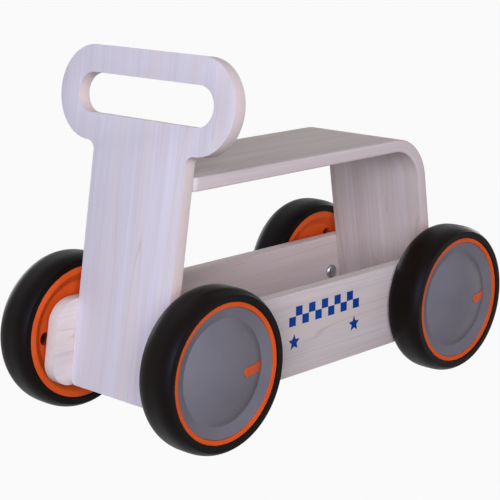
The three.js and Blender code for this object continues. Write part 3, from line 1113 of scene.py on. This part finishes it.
@dataclass
class BoxFloor:
    """Bottom of the box between the side boards."""

    panels: Panels
    low: float = 51 * MM
    thickness: float = 9 * MM
    half_width: float = 77 * MM
    ease: float = 0.8 * MM
    grain_shift: float = 2.0

    def block(self, name: str, grown: float) -> Piece:
        """Makes the floor's block.

        Args:
            name: Name of the object.
            grown: Gap by which it is grown all round.

        Returns:
            The new object.
        """
        reach = self.panels.inside(self.low + self.thickness) - self.panels.gap + grown
        half = self.half_width + grown
        loop = [Vector((x, y, self.low - grown)) for x, y in rectangle(-reach, -half, reach, half)]
        return prism(name, [loop], Vector((0.0, 0.0, self.thickness + 2 * grown)))

    def grain(self, point: Vector) -> Vector:
        """Grain coordinate, lengthwise along the floor."""
        return Vector((point.x, point.y + self.grain_shift, (point.z - self.low) / self.thickness))

    def build(self, fitter: Fitter) -> None:
        """Makes the floor and fits it.

        Args:
            fitter: Hands the floor to the frame.
        """
        floor = self.block("box_floor_wood", 0.0)
        Bench.ease(floor, self.ease, 2)
        fitter.fit_board(floor, "box_floor", self.grain)


@dataclass
class PrintedBand:
    """Checker band and two stars printed on the outer face of a side board."""

    board: SideBoard
    ink: Material
    column: float = 11.2 * MM
    row: float = 11.0 * MM
    low_row: float = 99 * MM
    low_columns: int = 6
    high_columns: int = 5
    middle: float = 7.5 * MM
    star_points: int = 5
    star_reach: float = 53.0 * MM
    star_height: float = 79.8 * MM
    star_radius: float = 9.8 * MM
    star_waist: float = 0.46
    film: float = 0.12 * MM
    inset: float = 0.02 * MM

    def face(self, x: float, z: float) -> Vector:
        """A point on the board's outer face; the band reads the same way round on both sides."""
        sign = self.board.side.value
        return Vector((self.middle - sign * x, sign * self.board.outer, z))

    def squares(self) -> List[List[Vector]]:
        """Lays out the two rows of squares, each one column apart from the next.

        Returns:
            The corners of each square.
        """
        found = []
        for count, low in ((self.low_columns, self.low_row), (self.high_columns, self.low_row + self.row)):
            for k in range(count):
                left = (2 * k - count + 0.5) * self.column
                box = rectangle(left, low, left + self.column, low + self.row)
                found.append([self.face(x, z) for x, z in box])
        return found

    def stars(self) -> List[List[Vector]]:
        """Lays out the two stars.

        Returns:
            The corners of each star.
        """
        found = []
        for sign in (-1, 1):
            points = []
            for k in range(2 * self.star_points):
                radius = self.star_radius * (self.star_waist if k % 2 else 1.0)
                angle = math.pi / 2 + k * math.pi / self.star_points
                points.append(self.face(sign * self.star_reach + radius * math.cos(angle),
                                        self.star_height + radius * math.sin(angle)))
            found.append(points)
        return found

    def drawn_in(self, shape: List[Vector]) -> List[Vector]:
        """A shape drawn in a little, so that corners that meet stay apart."""
        centre = sum(shape, Vector()) / len(shape)
        return [point + (centre - point).normalized() * self.inset for point in shape]

    def build(self) -> None:
        """Makes the print and puts it on the board."""
        side = self.board.side
        for motif, shapes in (("checker", self.squares()), ("star", self.stars())):
            loops = [self.drawn_in(shape) for shape in shapes]
            printed = prism(f"{motif}_print_{side.word}", loops, Vector((0.0, side.value * self.film, 0.0)))
            printed.data.materials.append(self.ink)
            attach(printed, "frame")
            LOG.info("printed %s", printed.name)


@dataclass
class Screws:
    """Countersunk screws through the side boards into the edges of the two panels."""

    panels: Panels
    length: float = 45 * MM
    radius: float = 2.1 * MM
    tip: float = 6 * MM
    head_radius: float = 4.4 * MM
    head_height: float = 3 * MM
    head_rim: float = 0.6 * MM
    low: float = 66.5 * MM
    high: float = 111.7 * MM
    head_place: float = 86.0 * MM
    hole_top: float = 2 * MM
    recess_half: float = 0.55 * MM
    recess_reach: float = 2.5 * MM
    recess_depth: float = 1.7 * MM
    steps: int = 32

    def shape(self, name: str, gap: float, top: float) -> Piece:
        """Makes the screw's body along Y, with the face of its head at the origin.

        Args:
            name: Name of the object.
            gap: Gap by which it is grown.
            top: Station of the head's face.

        Returns:
            The new object.
        """
        body, head = self.radius + gap, self.head_radius + gap
        profile = [(0.0, -self.length - gap), (body, self.tip - self.length - gap),
                   (body, -self.head_height - gap), (head, -self.head_rim - gap), (head, top), (0.0, top)]
        return turned(name, profile, self.steps, False)

    def places(self) -> List[Tuple[str, Side, Vector]]:
        """Lists the screws.

        Returns:
            Node name, side and head's place of every screw.
        """
        found = []
        for end, panel in ((End.REAR, "handle"), (End.FRONT, "arch")):
            for level, height in (("low", self.low), ("high", self.high)):
                reach = end.value * self.panels.inside(height, self.panels.thickness / 2)
                for side in Side:
                    place = Vector((reach, side.value * self.head_place, height))
                    found.append((f"{panel}_screw_{side.word}_{level}", side, place))
        return found

    def holes(self, wanted: Side) -> List[Piece]:
        """Makes the tools that cut the screw holes of one side board.

        Args:
            wanted: The side.

        Returns:
            The tools.
        """
        master = self.shape("hole_master", self.panels.gap, self.hole_top)
        tools = [Bench.copy_to(master, f"{name}_hole", side.turn, place)
                 for name, side, place in self.places() if side is wanted]
        Bench.remove(master)
        return tools

    def build(self, fitter: Fitter) -> None:
        """Makes one screw with a cross recess and copies it to every place.

        Args:
            fitter: Hands the screws to the frame.
        """
        master = self.shape("screw_master", 0.0, 0.0)
        for wide, tall in ((self.recess_reach, self.recess_half), (self.recess_half, self.recess_reach)):
            loop = [Vector((x, -self.recess_depth, z)) for x, z in rectangle(-wide, -tall, wide, tall)]
            tool = prism("recess_tool", [loop], Vector((0.0, 2 * self.head_height, 0.0)))
            Bench.combine(master, tool, Operation.CUT)
        Bench.smooth(master)
        for name, side, place in self.places():
            fitter.fit(Bench.copy_to(master, f"{name}_round", side.turn, place), "frame", Slot.STEEL, name)
        Bench.remove(master)


@dataclass
class WheelSet:
    """The four wheels and their axle bolts.

    Each piece is made once about the Y axis, with the wheel's middle at the origin and its outer side at +Y.
    """

    wheelbase: float = 407.4 * MM
    middle: float = 113.55 * MM
    half: float = 21.25 * MM
    rim_radius: float = 76.2 * MM
    rim_round: float = 0.7 * MM
    sidewall: float = 8.1 * MM
    crease_proud: float = 1.1 * MM
    crease_round: float = 0.8 * MM
    crown: float = 5.7 * MM
    tread_power: float = 3.5
    tread_steps: int = 32
    tyre_lip: float = 1 * MM
    tyre_lip_round: float = 0.9 * MM
    lip_width: float = 5.2 * MM
    lip_thickness: float = 3.3 * MM
    lip_fall: float = 0.6 * MM
    lip_height: float = 2.6 * MM
    lip_round: float = 0.5 * MM
    flange_width: float = 7.5 * MM
    flange_round: float = 4 * MM
    dish_depth: float = 7.75 * MM
    dish_draft: float = 10 * MM
    dish_round: float = 5 * MM
    web: float = 4 * MM
    web_round: float = 1 * MM
    pocket_radius: float = 7.8 * MM
    pocket_circle: float = 49 * MM
    pocket_depth: float = 10 * MM
    pocket_wall: float = 2 * MM
    pocket_count: int = 3
    pocket_steps: int = 24
    pocket_ease: float = 0.6 * MM
    pocket_mouth: float = 0.25 * MM
    pocket_slack: float = 0.1 * MM
    boss_radius: float = 13 * MM
    boss_start: float = -22.75 * MM
    boss_end: float = 8.25 * MM
    boss_round: float = 0.8 * MM
    boss_fillet: float = 2 * MM
    edge_round: float = 0.4 * MM
    bush_radius: float = 8 * MM
    bush_length: float = 12 * MM
    flange_radius: float = 10.5 * MM
    bush_flange: float = 1.6 * MM
    bush_bore: float = 5.2 * MM
    axle_radius: float = 5 * MM
    axle_round: float = 0.6 * MM
    head_radius: float = 9 * MM
    head_height: float = 4 * MM
    head_fall: float = 2.5 * MM
    head_crown: float = 4 * MM
    head_round: float = 1.4 * MM
    head_seat: float = -42.55 * MM
    hole_reach: float = 30 * MM
    washer_radius: float = 10 * MM
    washer: float = 2 * MM
    retainer_radius: float = 7.5 * MM
    retainer_depth: float = 7 * MM
    retainer_wall: float = 2.2 * MM
    retainer_chamfer: float = 2 * MM
    cap_band: float = 12.4 * MM
    cap_recess: float = 6.8 * MM
    cap_sink: float = 0.7 * MM
    cap_wall: float = 2.6 * MM
    cap_ease: float = 0.7 * MM
    cap_angle: float = 40.0
    skirt_wall: float = 2.4 * MM
    dome_rise: float = 16.5 * MM
    dome_steps: int = 24
    marker_width: float = 10.4 * MM
    marker_inner: float = 17 * MM
    marker_edge: float = 1.8 * MM
    marker_corner: float = 1 * MM
    marker_proud: float = 0.8 * MM
    marker_clear: float = 2 * MM
    marker_depth: float = 1.5 * MM
    marker_tool: float = 60 * MM
    marker_ease: float = 0.5 * MM
    marker_turn: float = math.radians(-3.0)
    gap: float = 0.3 * MM
    small_ease: float = 0.3 * MM
    steps: int = 128
    small_steps: int = 48

    @property
    def tyre_radius(self) -> float:
        """Radius of the tread's crown, which is the axle's height."""
        return self.rim_radius + self.sidewall + self.crown

    @property
    def cap_radius(self) -> float:
        """Outer radius of the hub cap."""
        return self.rim_radius - self.lip_width - self.gap

    @property
    def dome_edge(self) -> float:
        """Radius of the dome's edge."""
        return self.cap_radius - self.cap_band

    @property
    def dome_radius(self) -> float:
        """Radius of the dome's sphere."""
        return (self.dome_edge ** 2 + self.dome_rise ** 2) / (2 * self.dome_rise)

    @property
    def web_inner(self) -> float:
        """Station of the web's inner face."""
        return self.dish_depth - self.half

    @property
    def web_outer(self) -> float:
        """Station of the web's outer face."""
        return self.web_inner + self.web

    @property
    def retainer_start(self) -> float:
        """Station of the retainer's inner end."""
        return self.boss_end + 2 * self.gap + self.bush_flange

    def place(self, end: End, side: Side) -> Vector:
        """Middle of a wheel."""
        return Vector((end.value * self.wheelbase / 2, side.value * self.middle, self.tyre_radius))

    def dome(self, offset: float) -> Profile:
        """Works out the dome's profile.

        Args:
            offset: Distance that it is moved along its normal.

        Returns:
            The points from the axis to the dome's edge.
        """
        reach = math.asin(self.dome_edge / self.dome_radius)
        centre = self.half - self.cap_recess + self.dome_rise - self.dome_radius
        radius = self.dome_radius + offset
        angles = [reach * k / self.dome_steps for k in range(self.dome_steps + 1)]
        return [(radius * math.sin(a), centre + radius * math.cos(a)) for a in angles]

    def tyre(self) -> Piece:
        """Makes the black tyre, with flat sidewalls and a full tread.

        Returns:
            The new object.
        """
        flat = self.half + self.crease_proud
        shares = [2 * k / self.tread_steps - 1 for k in range(self.tread_steps + 1)]
        tread = [(self.tyre_radius - self.crown * abs(share) ** self.tread_power, flat * share)
                 for share in shares]
        edge = self.rim_radius + self.gap
        seat = self.rim_radius - self.lip_height + self.gap
        channel = self.half - self.lip_thickness - self.gap
        lip = self.half + self.tyre_lip
        bead = [(edge, lip, self.tyre_lip_round), (edge, channel, 0.0), (seat, channel, 0.0)]
        profile = soft_profile([
            *[(radius, -station, rounding) for radius, station, rounding in reversed(bead)],
            *[(*point, self.crease_round if point in (tread[0], tread[-1]) else 0.0) for point in tread],
            *bead,
        ])
        return turned("tyre_master", profile, self.steps, True)

    def rim(self) -> Piece:
        """Makes the orange rim, with two lips, a dished web with round pockets, and a boss.

        Returns:
            The new object.
        """
        rim, half, web = self.rim_radius, self.half, self.web_inner
        bore, barrel = self.bush_radius + self.gap, rim - self.lip_height
        dish, ledge = rim - self.flange_width, half - self.lip_thickness
        profile = soft_profile([
            (bore, self.boss_start, self.edge_round),
            (self.boss_radius, self.boss_start, self.boss_round),
            (self.boss_radius, web, self.boss_fillet),
            (dish - self.dish_draft, web, self.dish_round),
            (dish, -half, self.flange_round),
            (rim, -half, self.rim_round),
            *[(radius, station, 0.0) for radius, station in
              ((rim, -ledge), (barrel, -ledge), (barrel, ledge), (rim, ledge))],
            (rim, half, self.rim_round),
            (rim - self.lip_width, half - self.lip_fall, self.lip_round),
            (rim - self.lip_width, self.web_outer, self.edge_round),
            (self.boss_radius, self.web_outer, self.web_round),
            (self.boss_radius, self.boss_end, self.edge_round),
            (bore, self.boss_end, self.edge_round),
        ])
        made = turned("rim_master", profile, self.steps, True)
        turns = [math.pi + 2 * math.pi * k / self.pocket_count for k in range(self.pocket_count)]
        centres = [self.pocket_circle * Vector((math.cos(turn), math.sin(turn))) for turn in turns]
        floor, last = web + self.pocket_depth, FULL_TURN - FULL_TURN / self.pocket_steps
        for centre in centres:
            for radius, start, end, operation in (
                    (self.pocket_radius + self.pocket_wall, web + self.web / 2, floor + self.pocket_wall,
                     Operation.JOIN),
                    (self.pocket_radius, web - self.web, floor, Operation.CUT)):
                ring = arc(centre, radius, 0.0, last, self.pocket_steps - 1)
                loop = [Vector((point.x, start, point.y)) for point in ring]
                Bench.combine(made, prism("pocket_tool", [loop], Vector((0.0, end - start, 0.0))), operation)
        Bench.ease(made, self.pocket_ease, 2)
        # Marks the inside of the pockets for the painted shade that darkens them.
        self.mark_pockets(made, centres)
        return made

    def mark_pockets(self, rim: Piece, centres: List[Vector]) -> None:
        """Stores 1 on the vertices inside the rim's pockets, where the orange is darkened by painted shade, and 0
        on the others.

        Args:
            rim: The rim.
            centres: Centres of the pockets, in the XZ plane.
        """
        layer = rim.data.attributes.new(POCKET_SHADE, "FLOAT", "POINT")
        mouth, floor = self.web_inner + self.pocket_mouth, self.web_inner + self.pocket_depth + MM
        for vertex, item in zip(rim.data.vertices, layer.data):
            flat = Vector((vertex.co.x, vertex.co.z))
            near = min((flat - centre).length for centre in centres) < self.pocket_radius + self.pocket_slack
            item.value = float(near and mouth < vertex.co.y < floor)

    def marker_blank(self, low: float, high: float, gap: float, name: str) -> Piece:
        """Makes a slice of the dome with the marker's outline.

        Args:
            low: Offset of its inner face from the dome.
            high: Offset of its outer face from the dome.
            gap: Gap by which the outline is grown.
            name: Name of the object.

        Returns:
            The new object.
        """
        blank = turned(name, [*self.dome(low), *reversed(self.dome(high))], self.steps, False)
        half = self.marker_width / 2 + gap
        inner, outer = self.marker_inner - gap, self.dome_edge - self.marker_edge + gap
        box = rectangle(inner, -half, outer, half)
        rounds = [half - MERGE, self.marker_corner, self.marker_corner, half - MERGE]
        outline = rounded([(*corner, radius) for corner, radius in zip(box, rounds)])
        turn = Matrix.Rotation(self.marker_turn, 4, "Y")
        loop = [turn @ Vector((point.x, 0.0, point.y)) for point in outline]
        tool = prism("marker_tool", [loop], Vector((0.0, self.marker_tool, 0.0)))
        Bench.combine(blank, tool, Operation.TRIM)
        return blank

    def cap(self) -> Piece:
        """Makes the grey hub cap, with a conical band, a dome and a pocket for the marker.

        Returns:
            The new object.
        """
        top = self.half - self.lip_fall - self.cap_sink
        slope = math.atan2(top - self.half + self.cap_recess, self.cap_band)
        under = top - self.skirt_wall * math.tan(slope) - self.cap_wall / math.cos(slope)
        skirt, foot = self.cap_radius - self.skirt_wall, self.web_outer + self.gap
        profile = [*self.dome(-self.cap_wall), (skirt, under), (skirt, foot), (self.cap_radius, foot),
                   (self.cap_radius, top), *reversed(self.dome(0.0))]
        made = turned("cap_master", profile, self.steps, False, self.cap_ease, self.cap_angle)
        high = self.marker_proud + self.marker_clear
        tool = self.marker_blank(-self.marker_depth, high, self.gap, "pocket_tool")
        Bench.combine(made, tool, Operation.CUT)
        return made

    def marker(self) -> Piece:
        """Makes the orange bar that is let into the dome.

        Returns:
            The new object.
        """
        made = self.marker_blank(self.gap - self.marker_depth, self.marker_proud, 0.0, "marker_master")
        Bench.ease(made, self.marker_ease, 2)
        return made

    def bush(self, name: str, start: float, way: int) -> Piece:
        """Makes a flanged bush.

        Args:
            name: Name of the object.
            start: Station of the flange's face.
            way: Sign of the way along Y in which the barrel runs.

        Returns:
            The new object.
        """
        flange = start + way * self.bush_flange
        end = flange + way * self.bush_length
        profile = [(self.bush_bore, start), (self.flange_radius, start), (self.flange_radius, flange),
                   (self.bush_radius, flange), (self.bush_radius, end), (self.bush_bore, end)]
        return turned(name, profile, self.small_steps, True, self.small_ease)

    def washer_ring(self) -> Piece:
        """Makes the spacer washer beside the side board.

        Returns:
            The new object.
        """
        start = self.boss_start - self.gap - self.bush_flange - self.gap - self.washer
        profile = rectangle(self.axle_radius + self.gap, start, self.washer_radius, start + self.washer)
        return turned("washer_master", profile, self.small_steps, True, self.small_ease)

    def retainer(self) -> Piece:
        """Makes the push-on retainer over the axle's end.

        Returns:
            The new object.
        """
        start, wide, chamfer = self.retainer_start, self.flange_radius, self.retainer_chamfer
        floor = start + self.retainer_depth + self.gap
        top = floor + self.retainer_wall
        bore, radius = self.axle_radius + self.gap, self.retainer_radius
        flange = start + self.bush_flange
        profile = [(0.0, floor), (bore, floor), (bore, start), (wide, start), (wide, flange),
                   (radius, flange), (radius, top - chamfer), (radius - chamfer, top), (0.0, top)]
        return turned("retainer_master", profile, self.small_steps, False, self.small_ease)

    def bolt(self) -> Piece:
        """Makes the axle bolt, with its head against the side board's inner face.

        Returns:
            The new object.
        """
        end = self.retainer_start + self.retainer_depth
        top = self.head_seat - self.head_height
        profile = soft_profile([
            (0.0, top, 0.0),
            (self.head_radius - self.head_fall, top, self.head_crown),
            (self.head_radius, top + self.head_fall, self.head_round),
            (self.head_radius, self.head_seat, self.small_ease),
            (self.axle_radius, self.head_seat, 0.0),
            (self.axle_radius, end, self.axle_round),
            (0.0, end, 0.0),
        ])
        return turned("bolt_master", profile, self.small_steps, False)

    def axle_holes(self, side: Side) -> List[Piece]:
        """Makes the tools that cut the axle holes of one side board.

        Args:
            side: The side.

        Returns:
            The tools.
        """
        profile = rectangle(0.0, -self.hole_reach, self.axle_radius + self.gap, self.hole_reach)
        master = turned("axle_hole", profile, self.small_steps, False)
        inwards = Vector((0.0, -side.value * self.hole_reach, 0.0))
        tools = [Bench.copy_to(master, f"{end.word}_axle_hole", 0.0, self.place(end, side) + inwards)
                 for end in End]
        Bench.remove(master)
        return tools

    def build(self, fitter: Fitter) -> None:
        """Makes each piece once, copies it to every corner and fits the copies.

        Args:
            fitter: Hands the pieces to the frame.
        """
        inner_start = self.boss_start - self.gap - self.bush_flange
        outer_start = self.boss_end + self.gap + self.bush_flange
        masters = [
            ("tyre", self.tyre(), Slot.TYRE, True),
            ("rim", self.rim(), Slot.ORANGE, True),
            ("hub_cap", self.cap(), Slot.GREY, True),
            ("cap_marker", self.marker(), Slot.ORANGE, True),
            ("inner_bush", self.bush("inner_bush_master", inner_start, 1), Slot.NYLON, True),
            ("outer_bush", self.bush("outer_bush_master", outer_start, -1), Slot.NYLON, True),
            ("axle_bolt", self.bolt(), Slot.STEEL, False),
            ("spacer_washer", self.washer_ring(), Slot.STEEL, False),
            ("axle_retainer", self.retainer(), Slot.STEEL, False),
        ]
        for piece, master, slot, turns in masters:
            Bench.smooth(master)
            for end in End:
                for side in Side:
                    corner = f"{end.word}_{side.word}"
                    copy = Bench.copy_to(master, f"{corner}_{piece}_round", side.turn, self.place(end, side))
                    fitter.fit(copy, f"{corner}_wheel" if turns else "frame", slot, f"{corner}_{piece}")
            Bench.remove(master)


@dataclass(frozen=True)
class Lamp:
    """Soft square lamp that faces the walker."""

    name: str
    place: Tuple[float, float, float]
    size: float
    power: float
    colour: Colour
    aim: Tuple[float, float, float] = (0.0, 0.0, 0.18)

    def build(self) -> None:
        """Makes the lamp."""
        data = bpy.data.lights.new(self.name, "AREA")
        data.size = self.size
        data.energy = self.power
        data.color = self.colour
        lamp = bpy.data.objects.new(self.name, data)
        lamp.location = self.place
        lamp.rotation_euler = (Vector(self.aim) - Vector(self.place)).to_track_quat("-Z", "Y").to_euler()
        bpy.context.scene.collection.objects.link(lamp)


@dataclass
class Studio:
    """Floor, light and camera."""

    floor_size: float = 60.0
    camera_place: Tuple[float, float, float] = (-1.3107, -1.2060, 0.5891)
    yaw: float = math.radians(43.21)
    pitch: float = math.radians(-13.39)
    roll: float = math.radians(0.17)
    lens: float = 112.08
    sensor: float = 36.0
    world_colour: Colour = (0.98, 0.98, 1.0)
    world_level: float = 0.19
    backdrop: Colour = (0.975, 0.975, 0.975)
    lamps: Tuple[Lamp, ...] = (
        Lamp("key_lamp", (-2.5, -2.25, 1.05), 2.3, 141.0, (0.81, 0.87, 1.0)),
        Lamp("side_lamp", (1.6, -5.8, 1.6), 3.2, 12.0, (1.0, 0.90, 0.82)),
        Lamp("front_lamp", (4.0, 0.6, 0.4), 2.3, 85.0, (0.96, 0.97, 1.0)),
        Lamp("far_lamp", (0.6, 4.0, 0.4), 2.3, 85.0, (0.96, 0.97, 1.0)),
    )

    def floor(self) -> None:
        """Lays a pale floor under the wheels."""
        bpy.ops.object.select_all(action="DESELECT")
        bpy.ops.mesh.primitive_plane_add(size=self.floor_size, location=(0.0, 0.0, 0.0))
        floor = bpy.context.object
        floor.name = "studio_floor"
        floor.data.materials.append(FloorFinish().build())

    def world(self) -> None:
        """Sets an even light from all round, seen as white by the camera and in reflections."""
        world = bpy.data.worlds.new("studio_world")
        bpy.context.scene.world = world
        sheet = NodeSheet(world)
        light = sheet.tree.nodes["Background"]
        sheet.put(self.world_colour, light.inputs["Color"])
        sheet.put(self.world_level, light.inputs["Strength"])
        white = sheet.add("Background")
        sheet.put(self.backdrop, white.inputs["Color"])
        sheet.blend(sheet.seen(), light.outputs[0], white.outputs[0], sheet.tree.nodes["World Output"])

    def camera(self) -> None:
        """Sets a camera at the photograph's place."""
        data = bpy.data.cameras.new("camera")
        data.lens = self.lens
        data.sensor_width = self.sensor
        camera = bpy.data.objects.new("camera", data)
        flat = math.cos(self.pitch)
        ahead = Vector((flat * math.cos(self.yaw), flat * math.sin(self.yaw), math.sin(self.pitch)))
        right = ahead.cross(Vector((0.0, 0.0, 1.0))).normalized()
        upright = right.cross(ahead)
        across = math.cos(self.roll) * right + math.sin(self.roll) * upright
        above = math.cos(self.roll) * upright - math.sin(self.roll) * right
        basis = Matrix((across, above, -ahead)).transposed().to_4x4()
        camera.matrix_world = Matrix.Translation(self.camera_place) @ basis
        bpy.context.scene.collection.objects.link(camera)
        bpy.context.scene.camera = camera

    def build(self) -> None:
        """Sets up the whole studio."""
        self.floor()
        self.world()
        for lamp in self.lamps:
            lamp.build()
        self.camera()
        bpy.context.scene.view_settings.view_transform = "Standard"


def make_materials() -> Dict[Slot, Material]:
    """Builds one material per slot.

    Returns:
        The materials by slot.
    """
    finishes = {
        Slot.BIRCH: WoodFinish(),
        Slot.DOWEL: MouldedFinish("dowel_beech", srgb(214, 182, 142), srgb(196, 160, 118), (0.6, 0.75)),
        Slot.TYRE: MouldedFinish("tyre_rubber", srgb(23, 16, 10), srgb(18, 12, 7), (0.38, 0.44), 1400.0,
                                 specular=0.075, sheen=(0.45, 0.58, 1.0)),
        # The orange's pocket colour is painted shade, a dark brown inside the rim's pockets.
        Slot.ORANGE: MouldedFinish("orange_plastic", srgb(226, 90, 35), srgb(218, 83, 31), (0.38, 0.48),
                                   specular=0.12, pocket_shade=srgb(74, 26, 10)),
        Slot.GREY: MouldedFinish("grey_plastic", srgb(116, 110, 116), srgb(110, 104, 110), (0.42, 0.50),
                                 specular=0.22, sheen=(0.45, 0.60, 1.0)),
        Slot.NYLON: MouldedFinish("white_nylon", srgb(232, 228, 219), srgb(222, 217, 206), (0.4, 0.55)),
        Slot.STEEL: SteelFinish(),
    }
    return {slot: finish.build() for slot, finish in finishes.items()}


def main() -> None:
    """Builds the walker's looks and the studio."""
    logging.basicConfig(level=logging.INFO)
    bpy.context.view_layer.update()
    fitter = Fitter(make_materials())
    panels = Panels()
    ink = MouldedFinish("blue_ink", srgb(6, 60, 142), srgb(3, 52, 130), (0.5, 0.6), specular=0.12).build()
    HandleBoard(panels).build(fitter)
    SeatArch(panels).build(fitter)
    floor, screws, wheels = BoxFloor(panels), Screws(panels), WheelSet()

    def cutters(side: Side) -> List[Piece]:
        """Tools that cut the groove and the holes of one side board."""
        return [floor.block("groove_tool", panels.gap), *screws.holes(side), *wheels.axle_holes(side)]

    for side in Side:
        board = SideBoard(panels, side)
        board.build(fitter, cutters)
        PrintedBand(board, ink).build()
    floor.build(fitter)
    screws.build(fitter)
    wheels.build(fitter)
    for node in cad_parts:
        if "dowel" in node:
            fitter.keep(node, Slot.DOWEL)
    Studio().build()


if __name__ == "__main__":
    main()
